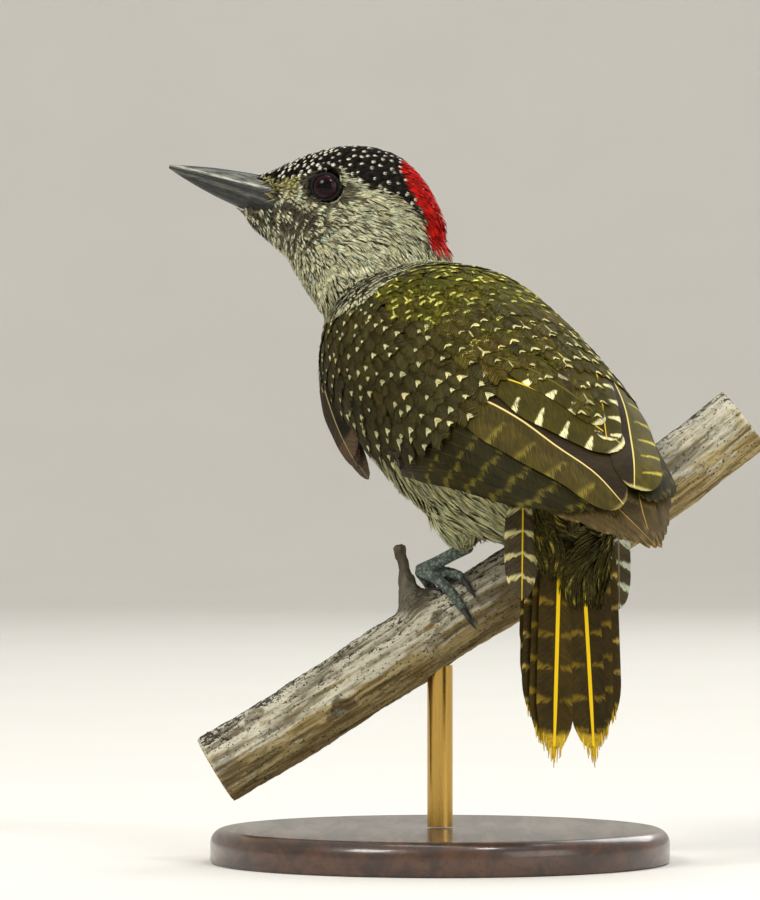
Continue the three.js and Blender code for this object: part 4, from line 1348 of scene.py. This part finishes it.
class Vanes:
    """Long feathers gathered into one piece."""

    def __init__(self):
        self.places, self.faces, self.maps, self.bake, self.marks = [], [], [], [], []

    def keep(self, places, faces, maps, bake, marks):
        """Keeps one closed feather, with its faces turned outward."""
        start = sum(len(part) for part in self.places)
        faces = np.array(faces)
        a, b, c, d = (places[faces[:, k]] - places[0] for k in range(4))
        volume = (np.cross(b, c) * a).sum() + (np.cross(c, d) * a).sum()
        if volume < 0:
            faces = faces[:, ::-1]
        self.places.append(places)
        self.faces.append(faces + start)
        self.maps.append(maps)
        self.bake.append(bake)
        self.marks.append(np.tile(np.array(marks, float), (len(places), 1)))

    def add(self, surface, length, outer, inner, marks, seed, tip, fray, columns=11, rows=20, root=0.5,
            shaft=0.22):
        """One vane over surface(down, across, depth), in millimetres from its root and from its shaft."""
        rng = np.random.default_rng(seed)
        us = np.sin(np.linspace(-1, 1, columns) * math.pi / 2 * 0.999)
        us = np.where(np.abs(us) < 1e-6, 0, us)
        near_tip = rows // 3
        vs = np.concatenate([np.linspace(0, tip, rows - near_tip),
                             tip + (1 - tip) * np.sin(np.linspace(0, math.pi / 2, near_tip + 1)[1:])])
        grown = root + (1 - root) * ramp(vs, -0.05, 0.35)
        ending = np.sqrt(np.clip(1 - (np.clip(vs - tip, 0, 1) / (1 - tip)) ** 2, 0, 1)) * 0.96 + 0.04
        profile = np.where(vs > tip, ending, 1.0) * grown
        u, v = np.meshgrid(us, vs)
        half = np.where(u > 0, outer, inner)
        across = u * half * profile[:, None]
        down = v * length + np.where(v > 0.1, rng.normal(0, fray, u.shape), 0)
        ridge = shaft * np.exp(-(across / 0.42) ** 2) * (1 - 0.75 * v)
        edge = np.clip((1 - np.abs(u)) * 6, 0, 1)
        top = surface(down, across, -(ridge + VANE_THICK * edge))
        under = surface(down, across, VANE_THICK * 0.4 * edge)
        size = columns * rows
        faces = []
        for i in range(rows - 1):
            for j in range(columns - 1):
                a = i * columns + j
                b = a + columns
                faces += [(a, a + 1, b + 1, b), (size + a, size + b, size + b + 1, size + a + 1)]
        rim = [*range(columns), *range(2 * columns - 1, size, columns),
               *range(size - 2, size - columns - 1, -1), *range(size - 2 * columns, 0, -columns)]
        for a, b in zip(rim, rim[1:] + rim[:1]):
            faces.append((a, size + a, size + b, b))
        maps = np.stack([across, (1 - v) * length], axis=2).reshape(-1, 2)
        bake = np.stack([u, v], axis=2).reshape(-1, 2)
        self.keep(np.concatenate([top.reshape(-1, 3), under.reshape(-1, 3)]), faces,
                  np.concatenate([maps, maps]), np.concatenate([bake, bake]), marks)

    def strand(self, surface, start, end, half, marks, bend=0.0, lift=0.0):
        """A loose barb from one (down, across) place to another, pointed, closed and thin."""
        rows = 5
        t = np.linspace(0, 1, rows)[:, None]
        down = start[0] + (end[0] - start[0]) * t
        across = start[1] + (end[1] - start[1]) * t + bend * np.sin(t * math.pi / 2)
        wide = half * np.sqrt(1 - t * 0.96)
        side = np.array([[-1.0, 0.0, 1.0]])
        places = surface(down + 0 * side, across + side * wide, -lift * t ** 2 - 0.08 * (1 - np.abs(side)))
        faces = []
        for i in range(rows - 1):
            a, b = 3 * i, 3 * i + 3
            faces += [(a, a + 1, b + 1, b), (a + 1, a + 2, b + 2, b + 1), (a + 2, a, b, b + 2)]
        faces += [(0, 2, 1, 1), (3 * rows - 3, 3 * rows - 2, 3 * rows - 1, 3 * rows - 1)]
        maps = np.stack([across + side * wide, np.full((rows, 3), 1.0)], axis=2).reshape(-1, 2)
        bake = np.stack([0.9 * side + 0 * t, t + 0 * side], axis=2).reshape(-1, 2)
        self.keep(places.reshape(-1, 3), faces, maps, bake, marks)

    def piece(self, name, finish):
        """The gathered piece.

        Its vane map holds millimetres from the shaft and from the tip. OFBake has one cell for each feather.
        """
        across = math.ceil(math.sqrt(len(self.bake) * 3))
        down = math.ceil(len(self.bake) / across)
        span = np.array((1 / across, 1 / down))
        bake = []
        for k, cell in enumerate(self.bake):
            corner = np.array((k % across / across, k // across / down))
            bake.append(corner + span * (0.5 + cell * (0.45, 0.9) - (0, 0.45)))
        faces = [tuple(dict.fromkeys(face)) for face in np.concatenate(self.faces).tolist()]
        made = build(name, np.concatenate(self.places), faces,
                     {"OFBake": np.concatenate(bake), "vane": np.concatenate(self.maps)})
        for k, mark in enumerate(VANE_MARKS):
            write(made, mark, np.concatenate(self.marks)[:, 4 * k:4 * k + 4])
        made.data.materials.append(finish.material)
        return made


def flight_finish(name):
    """A barbed vane: two tones beside a shaft, notches or bars that run in from its edges, and a pale tip.

    form holds the bars' spacing, their size, how far from the shaft they start, and a seed.
    """
    made = Finish(name, Roughness=0.6, Specular_IOR_Level=0.1)
    x, y, _ = made.parts(made.map("vane"))
    spacing, size, reach = made.parts(made.read("form"))
    seed = made.read("form", "Alpha")
    wide = abs(x)
    slant = y + wide * 0.8
    across_bar = y + wide * made.read("ground", "Alpha")
    barb = made.noise(made.join(x * 0.4, slant * 2.9, seed * 41.0), 1.0, 2.0, 0.6)
    cloudy = made.noise(made.join(x * 0.3, y * 0.15, seed * 23.0), 1.0, 2.0)
    off = barb - 0.5
    is_outer = made.step(x, -0.3, 0.3)
    colour = made.blend(is_outer, made.read("inner"), made.read("ground"))
    strength = made.read("bar", "Alpha")
    softness = 1.7 - strength * 1.3
    ragged = off * (softness * 2.6 + 0.2)
    off_bar = abs(made.math("FRACT", (across_bar + seed + ragged) / spacing) - 0.5) * spacing
    from_reach = wide - reach
    half_bar = size * (from_reach * 0.5 + 0.3)
    in_bar = made.step((off_bar - half_bar) / softness, -0.4, 0.7, 1.0, 0.0)
    in_bar *= made.step(from_reach, 0.0, 0.5)
    in_bar *= strength
    in_bar *= made.larger(is_outer, made.read("inner", "Alpha"))
    in_bar *= made.step(cloudy + off, 0.2, 0.5, 0.45, 1.0)
    colour = made.blend(in_bar, colour, made.read("bar"))
    tip_length = made.read("tip", "Alpha")
    from_tip = y + wide * wide * -0.03 + off * 1.5 - tip_length
    in_tip = made.step(from_tip, -0.5, 0.4, 1.0, 0.0) * made.step(tip_length, 0.1, 0.4)
    colour = made.blend(in_tip, colour, made.read("tip"))
    level = made.step(barb, 0.25, 0.75, 0.6, 1.36) * made.step(cloudy, 0.3, 0.7, 0.8, 1.16)
    half_shaft = made.read("shaft", "Alpha") * made.step(y, 0.0, 12.0, 0.6, 1.0)
    colour = made.shaded(colour, level)
    colour = made.over(colour, made.read("shaft"), wide - half_shaft, -0.06, 0.06, 1.0, 0.0)
    made.set("Base Color", colour)
    made.relief(barb, 0.3, 0.00012)
    return made


wing_vane = flight_finish("wing_vane")


def in_wing(start, end, depth, tilt, sign, bow=0.0):
    """The surface of one folded feather between two places in the wing, and its length.

    Its outer edge lies nearer the wing's face than its inner edge by the tilt.
    """
    (s0, a0), (s1, a1) = start, end
    run = np.array((s1 - s0, (a1 - a0) * DEGREE_WIDE))
    length = float(np.linalg.norm(run))
    ahead = run / length

    def surface(down, across, lower):
        t = down / length
        aside = across + bow * 4 * t * (1 - t)
        s = s0 + ahead[0] * down + ahead[1] * aside
        degrees = a0 + (ahead[1] * down - ahead[0] * aside) / DEGREE_WIDE
        deep = depth[0] + (depth[1] - depth[0]) * t - tilt * across / 5
        return wing_point(s, degrees, deep + lower, sign)

    return surface, length


# Start and end of each feather, as distance forward and angle from the back.
PRIMARIES = (((36, 64), (-33, 0)), ((36, 72), (-33, 6)), ((36, 80), (-31, 13)), ((36, 88), (-29, 20)),
             ((36, 95), (-26, 28)), ((36, 101), (-20, 40)), ((36, 105), (-11, 55)))
SECONDARIES = (((28, 56), (-21, 14)), ((28, 64), (-21, 20)), ((28, 72), (-20, 27)), ((28, 80), (-19, 33)),
               ((28, 88), (-18, 39)), ((28, 95), (-16, 45)), ((28, 101), (-13, 51)), ((30, 106), (-9, 57)))
ALULA = (((74, 113), (52, 135)), ((74, 118), (49, 138)), ((70, 113), (51, 131)), ((66, 108), (50, 124)))
olive_vane = paint(62, 55, 3)
brown_vane = paint(50, 38, 17)
cream_mark = paint(222, 213, 160)
# The tertials, the longest first: start, end, depth, bow, outer and inner half widths, and marks.
TERTIALS = {
    "left": (
        ((26, 50), (-22, 8), (0.95, 0.8), -2.2, 9.5, 9.5,
         vane_marks(paint(68, 58, 17), paint(44, 34, 15), paint(150, 134, 52), 0.45, 8.6, 0.2, 2.4, 5.3,
                    paint(226, 200, 130), 0.22, paint(140, 124, 70), 0.7, 0.0)),
        ((20, 27), (-6, -14), (0.5, 0.4), -0.3, 8.6, 6.0,
         vane_marks(olive_vane, brown_vane, cream_mark, 1.0, 6.4, 0.3, 3.4, 2.0,
                    paint(222, 186, 40), 0.2, cream_mark, 1.1, 0.5, 0.1)),
        ((25, 22), (1, -10), (0.2, 0.1), -0.6, 4.6, 4.2,
         vane_marks(olive_vane, olive_vane, cream_mark, 1.0, 6.2, 0.5, 1.4, 3.2,
                    paint(110, 98, 30), 0.14, cream_mark, 1.4, 0.8)),
    ),
    "right": (
        ((25, 40), (-18.5, 5), (0.7, 0.6), 2.6, 9.5, 6.5,
         vane_marks(paint(76, 68, 18), paint(44, 34, 15), paint(196, 182, 64), 0.85, 6.6, 0.14, 2.2, 5.3,
                    paint(226, 206, 120), 0.22, paint(190, 178, 110), 0.8, 0.0, -0.5)),
        ((22, 28), (-4, 6), (0.4, 0.3), 0.0, 4.8, 4.2,
         vane_marks(olive_vane, brown_vane, cream_mark, 1.0, 5.6, 0.4, 0.9, 1.0,
                    paint(210, 176, 50), 0.2, cream_mark, 1.0, 0.5, -0.3)),
        ((26, 18), (6, -2), (0.2, 0.1), 0.0, 4.4, 4.0,
         vane_marks(olive_vane, brown_vane, cream_mark, 1.0, 5.6, 0.4, 0.9, 1.0,
                    olive_vane, 0.2, cream_mark, 1.0, 0.5, -0.3)),
    ),
}
for side, sign in SIDES:
    rng = np.random.default_rng(71 if sign > 0 else 72)
    flight = Vanes()
    deeper = 0.0 if sign > 0 else 0.35
    for k, (start, end) in enumerate(PRIMARIES):
        depth = (3.1 + 0.05 * k, 2.75 + deeper + 0.07 * k)
        surface, length = in_wing(start, end, depth, 0.25, sign, bow=-1.0)
        colour = np.array(paint(74, 61, 32)) * math.exp(rng.normal(0, 0.14))
        marks = vane_marks(colour, colour * 0.8, paint(170, 148, 100), 0.15, 9.0, 0.4, 0.5, rng.random(),
                           paint(158, 128, 66), 0.2, paint(120, 98, 56), 1.0)
        flight.add(surface, length, 3.4, 5.5, marks, seed=k, tip=0.86, fray=0.12)
    ride_root(flight.piece(f"primaries_{side}", wing_vane), "wing_feathers", f"wing_{side}_primaries")

    flight = Vanes()
    for k, (start, end) in enumerate(SECONDARIES):
        surface, length = in_wing(start, end, (1.75, 1.7 + 0.03 * k), 0.28, sign, bow=-0.6)
        colour = np.array(paint(37, 33, 6)) * math.exp(rng.normal(0, 0.14))
        marks = vane_marks(colour, colour * 0.8, paint(128, 116, 40), 0.4, 7.8, 0.42, 0.6, 8 * rng.random(),
                           paint(54, 46, 18), 0.14, paint(90, 78, 32), 0.4)
        flight.add(surface, length, 3.6, 5.6, marks, seed=k + 10, tip=0.84, fray=0.14)
    ride_root(flight.piece(f"secondaries_{side}", wing_vane), "wing_feathers", f"wing_{side}_secondaries")

    flight = Vanes()
    for k, (start, end, depth, bow, outer, inner, marks) in enumerate(TERTIALS[side]):
        surface, length = in_wing(start, end, depth, 0.1, sign, bow)
        flight.add(surface, length, outer, inner, marks, seed=31 + k, tip=0.8, fray=0.06, columns=17, rows=24,
                   shaft=0.3)
    ride_root(flight.piece(f"tertials_{side}", wing_vane), "wing_feathers", f"wing_{side}_tertials")

    flight = Vanes()
    open_by = 3.0 if sign > 0 else 0.6
    for k, (start, end) in enumerate(ALULA):
        surface, length = in_wing(start, end, (0.9 - 0.3 * k, -0.5 - 0.25 * k), open_by, sign)
        marks = vane_marks(paint(46, 38, 24), paint(28, 24, 15), paint(150, 130, 90), 0.0, 9.0, 0.4, 2.0,
                           0.2 * k, paint(160, 146, 100), 0.12, paint(76, 60, 43), 5.0)
        flight.add(surface, length, 3.0, 4.8, marks, seed=k + 50, tip=0.72, fray=0.12, rows=15)
    ride_root(flight.piece(f"alula_{side}", wing_vane), "wing_feathers", f"wing_{side}_alula")

# -------------------------------------------------------------------- scapulars
# The large shoulder feathers that lie over the wings' inner edges, olive-brown with broad cream marks. They
# reach further out toward the front.
SCAPULAR_EDGE = {
    "left": ((8, 4), (11, 12), (14, 22), (17, 31), (24, 34), (40, 38)),
    "right": ((1, 12), (4, 20), (8, 25), (12, 31), (20, 33), (30, 35), (40, 38)),
}
scapular_plumage = feather_finish("scapular_plumage", spot_ratio=0.95, barbs=2.0, gleam=0.6, streak_from=1.0,
                                  streak_to=2.6, fan=0.5, fine=2.2)
for side, sign in SIDES:
    rng = np.random.default_rng(81 if sign > 0 else 82)
    found = []
    for row in range(8):
        tip = (9.5 if sign > 0 else 2.0) + 4.4 * row
        for k in range(7):
            degrees = -6 + (k + 0.5 * (row % 2)) * 8.6 + rng.normal(0, 1.2)
            if degrees < edge_at(SCAPULAR_EDGE[side], tip) and tip < 40 and (sign > 0 or degrees > 2):
                found.append((tip + 9.5 + rng.normal(0, 0.6), degrees))
    table = np.array(found)
    count = len(table)
    roots = wing_point(table[:, 0], np.abs(table[:, 1]), 0.2, sign * np.where(table[:, 1] < 0, -1, 1))
    scapulars = Tufts(full_guide, roots, 9.6, 5.8, rows=6, turn=rng.normal(0, 0.1, count),
                      depth=-0.05, rise=0.35 + 0.25 * rng.random(count))
    ground = shades(rng, count, paint(72, 64, 18), 0.18, 0.06)
    made = grow(f"scapulars_{side}", scapulars, covert_kinds, 83, scapular_plumage, ground=ground,
                margin=ground * 1.6, mark=shades(rng, count, paint(222, 214, 150), 0.08), contrast=0.6,
                form=marking(count, rng, rng.uniform(0.6, 1.05, count) * (rng.random(count) < 0.85), 0.55,
                             np.where(rng.random(count) < 0.25, 0.14, 0)))
    ride_root(made, "wing_coverts")

# -------------------------------------------------------------------- rump, tail coverts and vent
# Dark soft olive feathers with dull yellow streaks over the tail's root, and pale spotted ones below it.
def rump_end(places):
    """How far each place lies above the end of the rump's feathers, which reach lower on the right."""
    seen = tail_frame.seen(places)
    return 27 - 8.5 * ramp(seen[:, 1], -1.5, 3) - seen[:, 0]


rng = np.random.default_rng(85)
rump_roots = body_guide.scatter(1.9, 85, lambda p: (tail_frame.seen(p)[:, 0] > -12)
                                & (tail_frame.seen(p)[:, 2] > -3.5) & (rump_end(p) > 2))
count = len(rump_roots)
rump_length = np.clip(rump_end(rump_roots), 2.5, 9) * rng.uniform(0.85, 1.1, count)
rump = Tufts(body_guide, rump_roots, rump_length, 4.2, rows=6, turn=rng.normal(0, 0.14, count), depth=1.0,
             rise=0.2 + 0.5 * rng.random(count))
ground = shades(rng, count, paint(58, 52, 16), 0.22, 0.06)
mark = shades(rng, count, paint(140, 124, 44), 0.15)
streak = np.where(rng.random(count) < 0.45, rng.uniform(0.15, 0.4, count), 0)
made = grow("rump_feathers", rump, [plume(9, s + 120, 1.0, 0.35, 0.25) for s in range(5)], 86, barbed_plumage,
            ground=ground, margin=ground * 1.9, mark=mark, form=marking(count, rng, streak=streak))
ride_root(made, "body_plumage")

rng = np.random.default_rng(87)
vent_roots = body_guide.scatter(2.2, 87, lambda p: (wing_place(p)[0] < 5) & (tail_frame.seen(p)[:, 2] < -4)
                                & (tail_frame.seen(p)[:, 0] < 24))
count = len(vent_roots)
down = tail_frame.seen(vent_roots)[:, 0]
vent = Tufts(body_guide, vent_roots, np.clip(28 - down, 3, 8) * rng.uniform(0.85, 1.1, count), 3.4, rows=6,
             turn=rng.normal(0, 0.14, count), depth=1.0, rise=0.2 + 0.5 * rng.random(count))
pale = shades(rng, count, paint(205, 200, 170), 0.1, 0.04)
made = grow("vent_feathers", vent, soft_kinds, 88, body_plumage, ground=pale, margin=pale,
            mark=shades(rng, count, paint(84, 74, 46), 0.2),
            form=marking(count, rng, np.where(rng.random(count) < 0.6, 0.45, 0), 2.4))
ride_root(made, "body_plumage")

# -------------------------------------------------------------------- tail
# Six pairs of stiff pointed feathers, the middle pair on top, dark brown with dull golden bars and golden
# shafts. The barbs at the longer ones' tips have worn apart. The short outermost left one lies over the rest.

# From the middle out: length, offset, splay, outer and inner half widths, layer, and length of the worn tip.
RECTRICES = {
    "left": ((62.5, 2.8, 1.9, 4.9, 5.7, 0, 5.0), (58, 4.6, 2.2, 4.2, 4.2, 1, 2.5),
             (52, 6, 2.4, 4.2, 4.2, 2, 1.5), (46, 6.3, 2.2, 4, 4, 3, 0.5), (38, 5.8, 3, 3.8, 3.8, 4, 0.5),
             (24.5, 14, 0.5, 4.5, 4.5, -1.1, 0.5)),
    "right": ((62, 2.3, 3.8, 4.3, 5.7, 0, 5.0), (57, 7, 1.5, 4.3, 4.3, 1, 2.5),
              (52, 9.5, 2.2, 4.3, 4.3, 2, 1.5), (46, 10.4, 2, 4.1, 4.1, 3, 0.5),
              (38, 10.8, 2.5, 3.8, 3.8, 4, 0.5), (24, 16.4, 1, 3.6, 3.6, 5, 0.5)),
}
gold = paint(238, 198, 20)
worn_gold = paint(206, 172, 48)
grey_brown = paint(70, 61, 42)
# The outermost feather's bars and tip, the bars' size, and its shaft.
OUTERMOST = {
    "left": (paint(204, 194, 136), grey_brown, 0.28, gold),
    "right": (paint(190, 194, 170), paint(190, 194, 170), 0.42, paint(128, 112, 74)),
}
VANE_STEP = 1.05
WORN_BARBS = 15
tail_vane = flight_finish("tail_vane")


def in_tail(offset, splay, layer, sign):
    """The surface of one tail feather."""
    angle = sign * math.radians(splay)

    def surface(down, across, lower):
        side = across * sign
        ahead = down * math.cos(angle) - side * math.sin(angle)
        left = sign * offset + down * math.sin(angle) + side * math.cos(angle)
        return tail_frame.at(ahead, left, -layer - lower - 0.012 * across ** 2)

    return surface


for side, sign in SIDES:
    flight = Vanes()
    rng = np.random.default_rng(91 if sign > 0 else 92)
    for k, (length, offset, splay, outer, inner, layer, wear_and_highlight) in enumerate(RECTRICES[side]):
        surface = in_tail(offset, splay, layer * VANE_STEP, sign)
        colour = np.array(paint(54, 42, 9)) * math.exp(rng.normal(0, 0.1))
        if k == 5:
            bar, tip_colour, bar_size, shaft_colour = OUTERMOST[side]
            marks = vane_marks(grey_brown, grey_brown, bar, 0.9, 5.2, bar_size, -0.7, 2.4,
                               shaft_colour, 0.2, tip_colour, 0.8, slant=0.35)
        else:
            bar = paint(128, 104, 26) if k < 2 else paint(184, 160, 76)
            marks = vane_marks(colour, colour * 1.3, bar, 0.7, 7.5, 0.35, 0.7 if k < 2 else 1.9,
                               -0.2 + 0.5 * rng.random(), gold, 0.5 if k < 1 else 0.2, paint(180, 148, 40),
                               3.0 if k < 1 else 0.9, slant=0.0)
        flight.add(surface, length - wear_and_highlight, outer, inner, marks, seed=k + 70, tip=0.62 if k == 5 else 0.8,
                   fray=0.2, columns=15, rows=26, root=0.6, shaft=0.45)
        if k > 2:
            continue
        tip_marks = vane_marks(worn_gold, worn_gold, gold, 0.0, 9.0, 0.1, 9.0, 0.5, gold, 0.0)
        for place in np.linspace(-1, 1, WORN_BARBS):
            root_down = length - wear_and_highlight - 5.0 - 2.0 * abs(place)
            tip_down = length - 0.3 - wear_and_highlight * (rng.uniform(0.0, 0.45) + 0.7 * abs(place) ** 1.5)
            flight.strand(surface, (root_down, place * outer * 0.62), (tip_down, place * outer * 0.5), 0.42,
                          tip_marks, bend=rng.normal(0, 0.25), lift=0.15)
        if k == 0:
            shaft_marks = vane_marks(gold, gold, gold, 0.0, 9.0, 0.1, 9.0, 0.5, gold, 0.0)
            flight.strand(surface, (length - wear_and_highlight - 8, 0.0), (length - 0.4, 0.0), 0.5, shaft_marks, lift=0.2)
    made = flight.piece(f"tail_{side}", tail_vane)
    ride_root(made, "tail_feathers", *[f"tail_{side}_{k + 1}" for k in range(6)])

# -------------------------------------------------------------------- bill
# A straight chisel bill of slate-grey horn, with a pale highlight painted along its ridges. Its two mandibles
# meet at the gape, and each is grooved along its length.

# Stations of the bill: distance forward, height above the gape and below it, half width.
BILL = ((15.5, 3.4, 4.4, 7.2), (19, 3.8, 5.0, 5.75), (23, 3.7, 5.2, 4.7), (28, 3.2, 4.6, 3.6),
        (34, 2.4, 3.5, 2.5), (40.4, 1.2, 1.9, 1.4), (44.5, 0.35, 0.6, 0.7))
GAPE = -3.0
GAPE_GAP = 0.02
BILL_TIP = 44.0
# The painted highlights along the ridges: height above the gape at the tip, slope back from it, strength,
# half width.
RIDGES = ((0.45, 0.036, 0.85, 0.42), (-0.5, -0.045, 0.12, 0.8))


def mandible(name, column, sign):
    """Rings of a half bill along it, closed at both ends."""
    rings = 54
    sides = 37
    x = np.linspace(BILL[0][0], BILL[-1][0], rings)[:, None]
    angle = np.linspace(0, math.pi, sides)[None]
    tall = through(BILL, x, column)
    half = through(BILL, x, 3)
    ridge = np.abs(np.sin(angle)) ** (0.9 if sign > 0 else 0.8)
    from_top = np.abs(angle - math.pi / 2)
    if sign > 0:
        shelf = 0.09 * np.exp(-((from_top - 0.95) / 0.12) ** 2)
        ridge = ridge + 0.05 * np.exp(-(from_top / 0.16) ** 2) + shelf
        groove = 0.13 * np.exp(-((from_top - 0.62) / 0.13) ** 2) * (1 - ramp(x, 25, 38))
    else:
        groove = 0.05 * np.exp(-((from_top - 0.9) / 0.12) ** 2) * (1 - ramp(x, 24, 40))
    across = half * np.cos(angle) * (1 - groove * 0.6)
    high = GAPE + sign * (GAPE_GAP + tall * (ridge - groove))
    high = high - 0.9 * (1 - ramp(x, 15.5, 22))
    places = head_frame.at(x + 0 * angle, across, high)
    faces = []
    for i in range(rings - 1):
        for j in range(sides):
            k = (j + 1) % sides
            a, b = i * sides, (i + 1) * sides
            faces.append((a + j, b + j, b + k, a + k))
    faces.append(tuple(range(sides)))
    faces.append(tuple((rings - 1) * sides + j for j in reversed(range(sides))))
    made = build(name, places.reshape(-1, 3), faces, {})
    turned = bmesh.new()
    turned.from_mesh(made.data)
    bmesh.ops.recalc_face_normals(turned, faces=turned.faces)
    turned.to_mesh(made.data)
    turned.free()
    alone(made)
    bpy.ops.object.shade_smooth_by_angle(angle=math.radians(50))
    bpy.ops.object.select_all(action="DESELECT")
    grain_place = np.stack([np.broadcast_to(x, across.shape), across, high - GAPE], axis=2)
    write(made, "grain", grain_place.reshape(-1, 3))
    return made


horn = Finish("bill_horn", Specular_IOR_Level=0.36, Coat_Weight=0.08, Coat_Roughness=0.3)
grain = horn.read("grain", "Vector")
horn_long = horn.noise(horn.stretched(grain, (0.16, 1.5, 2.4)), 1.0, 4.0, 0.62)
horn_fine = horn.noise(horn.stretched(grain, (0.5, 8.0, 9.0)), 1.0, 2.0)
ahead, aside, above = horn.parts(grain)
horn_colour = horn.over(paint(12, 13, 12), paint(46, 48, 44), horn_long, 0.34, 0.68)
horn_colour = horn.over(horn_colour, paint(98, 99, 88), horn_fine, 0.5, 0.75, 0.0, 0.3)
open_face = horn.step(above, 0.4, 1.3) * horn.step(horn_long, 0.36, 0.62, 0.1, 0.75)
open_face *= horn.step(abs(aside), 0.5, 1.6)
horn_colour = horn.blend(open_face, horn_colour, paint(122, 123, 112))
# A pale line painted along each ridge as a highlight, as strong as the table's third column.
for start, slope, wear_and_highlight, half in RIDGES:
    off_ridge = abs(above - ((BILL_TIP - ahead) * slope + start))
    ridge_highlight = horn.step(off_ridge, 0.1, half, wear_and_highlight, 0.0) * horn.step(horn_long, 0.34, 0.6, 0.15, 1.0)
    horn_colour = horn.blend(ridge_highlight, horn_colour, paint(196, 194, 176))
horn_colour = horn.over(horn_colour, paint(120, 118, 112), ahead, 40, 44.5, 0.0, 0.5)
horn_colour = horn.over(horn_colour, paint(12, 12, 11), abs(above + 0.25), 0.1, 0.5, 0.8, 0.0)
horn.set("Base Color", horn_colour)
horn.set("Roughness", horn.step(horn_fine, 0.3, 0.7, 0.34, 0.52))
horn.relief(horn_long + horn_fine * 0.6, 0.5, 0.0003)
for name, column, sign, node in (("bill_top", 1, 1, "bill_upper"), ("bill_bottom", 2, -1, "bill_lower")):
    made = mandible(name, column, sign)
    made.data.materials.append(horn.material)
    ride_root(made, "bill_horn", node)

# -------------------------------------------------------------------- eyes
# Glass eyes, each in a ring of bare dark skin: a dark maroon iris round a black pupil, under a clear coat.
EYE_RADIUS = 4.0
PUPIL = 1.55
LID_RADIUS = 3.3
LID_HALF = 0.45
LID_AHEAD = 2.45
glass = Finish("eye_glass", Specular_IOR_Level=0.05, Roughness=0.2, Coat_Weight=0.2, Coat_Roughness=0.02)
gaze = glass.read("gaze", "Fac")
iris = glass.blend(glass.noise(glass.place(), 2600.0), paint(26, 8, 14), paint(54, 16, 28))
iris = glass.over(iris, paint(9, 4, 5), gaze, PUPIL, 2.5, 1.0, 0.0)
iris = glass.over(iris, paint(10, 6, 7), gaze, 2.55, 2.9)
glass.set("Base Color", iris)
lid_skin = Finish("lid_skin", Roughness=0.7, Specular_IOR_Level=0.15)
lid_grain = lid_skin.cells(lid_skin.place(), 3400.0)
lid_skin.set("Base Color", lid_skin.blend(lid_grain, paint(6, 6, 5), paint(25, 25, 20)))
lid_skin.relief(lid_grain, 0.5, 0.0001)
for side, sign in SIDES:
    centre = head_frame.at(EYE_AT[0], sign * EYE_AT[1], EYE_AT[2])
    look = unit(head_frame.left * sign + head_frame.forward * 0.04 + head_frame.up * 0.03)
    turn = Vector(look).to_track_quat("Z", "Y")
    bpy.ops.mesh.primitive_uv_sphere_add(segments=64, ring_count=48, radius=EYE_RADIUS * MM,
                                         location=Vector(centre) * MM, rotation=turn.to_euler())
    eye = bpy.context.object
    eye.name = f"glass_eye_{side}"
    set_in_place(eye)
    eye.data.shade_smooth()
    off = corners(eye) - centre
    ring = np.linalg.norm(off - (off @ look)[:, None] * look, axis=1)
    write(eye, "gaze", np.where(off @ look > 0, ring, 9.0))
    eye.data.materials.append(glass.material)
    ride_root(eye, "eye", f"eye_{side}")
    lid_centre = Vector(centre + look * LID_AHEAD)
    bpy.ops.mesh.primitive_torus_add(major_segments=72, minor_segments=16, major_radius=LID_RADIUS * MM,
                                     minor_radius=LID_HALF * MM, location=lid_centre * MM,
                                     rotation=turn.to_euler())
    lid = bpy.context.object
    lid.name = f"eyelid_{side}"
    set_in_place(lid)
    lid_places = corners(lid)
    off = lid_places - centre
    rough = wander(lid_places, (1.6, 1.6, 1.6), 9)
    squeeze = (off @ head_frame.up)[:, None] * head_frame.up * -0.08
    move_corners(lid, lid_places + squeeze + unit(off) * (0.12 * rough)[:, None])
    lid.data.shade_smooth()
    lid.data.materials.append(lid_skin.material)
    ride_root(lid, "head_plumage")

# -------------------------------------------------------------------- legs, toes and claws
# Scaly grey-green feet, two toes forward and two back, with dark curved claws. Each foot is one skin, and
# each claw is a piece of its own.
TOES = ("outer_back", "inner_back", "outer_front", "inner_front")
TOE_VOXEL = 0.32
CLAW_VOXEL = 0.16
foot_skin = Finish("foot_skin", Specular_IOR_Level=0.35)
scales = foot_skin.cells(foot_skin.place(), 1150.0)
foot_cloud = foot_skin.noise(foot_skin.place(), 420.0)
foot_colour = foot_skin.over(paint(112, 124, 112), paint(58, 66, 60), scales, 0.1, 0.75)
foot_colour = foot_skin.over(foot_colour, paint(74, 82, 72), foot_cloud, 0.45, 0.7, 0.0, 0.6)
foot_skin.set("Base Color", foot_colour)
foot_skin.set("Roughness", foot_skin.step(scales, 0.1, 0.7, 0.5, 0.75))
foot_skin.relief(1.0 - scales, 0.7, 0.0003)
claw_horn = Finish("claw_horn", Roughness=0.28, Specular_IOR_Level=0.5)
claw_cloud = claw_horn.noise(claw_horn.place(), 900.0)
claw_horn.set("Base Color", claw_horn.blend(claw_cloud, paint(22, 20, 18), paint(62, 58, 52)))
for side in ("left", "right"):
    nodes = [f"tarsus_{side}"] + [f"toe_{side}_{toe}" for toe in TOES]
    foot_piece = fused(f"foot_{side}", TOE_VOXEL, 2, *nodes)
    foot_piece.data.materials.append(foot_skin.material)
    ride_root(foot_piece, "foot_skin", *nodes)
    for toe in TOES:
        claw = fused(f"nail_{side}_{toe}", CLAW_VOXEL, 2, f"claw_{side}_{toe}")
        claw.data.materials.append(claw_horn.material)
        ride_root(claw, "claw_horn", f"claw_{side}_{toe}")
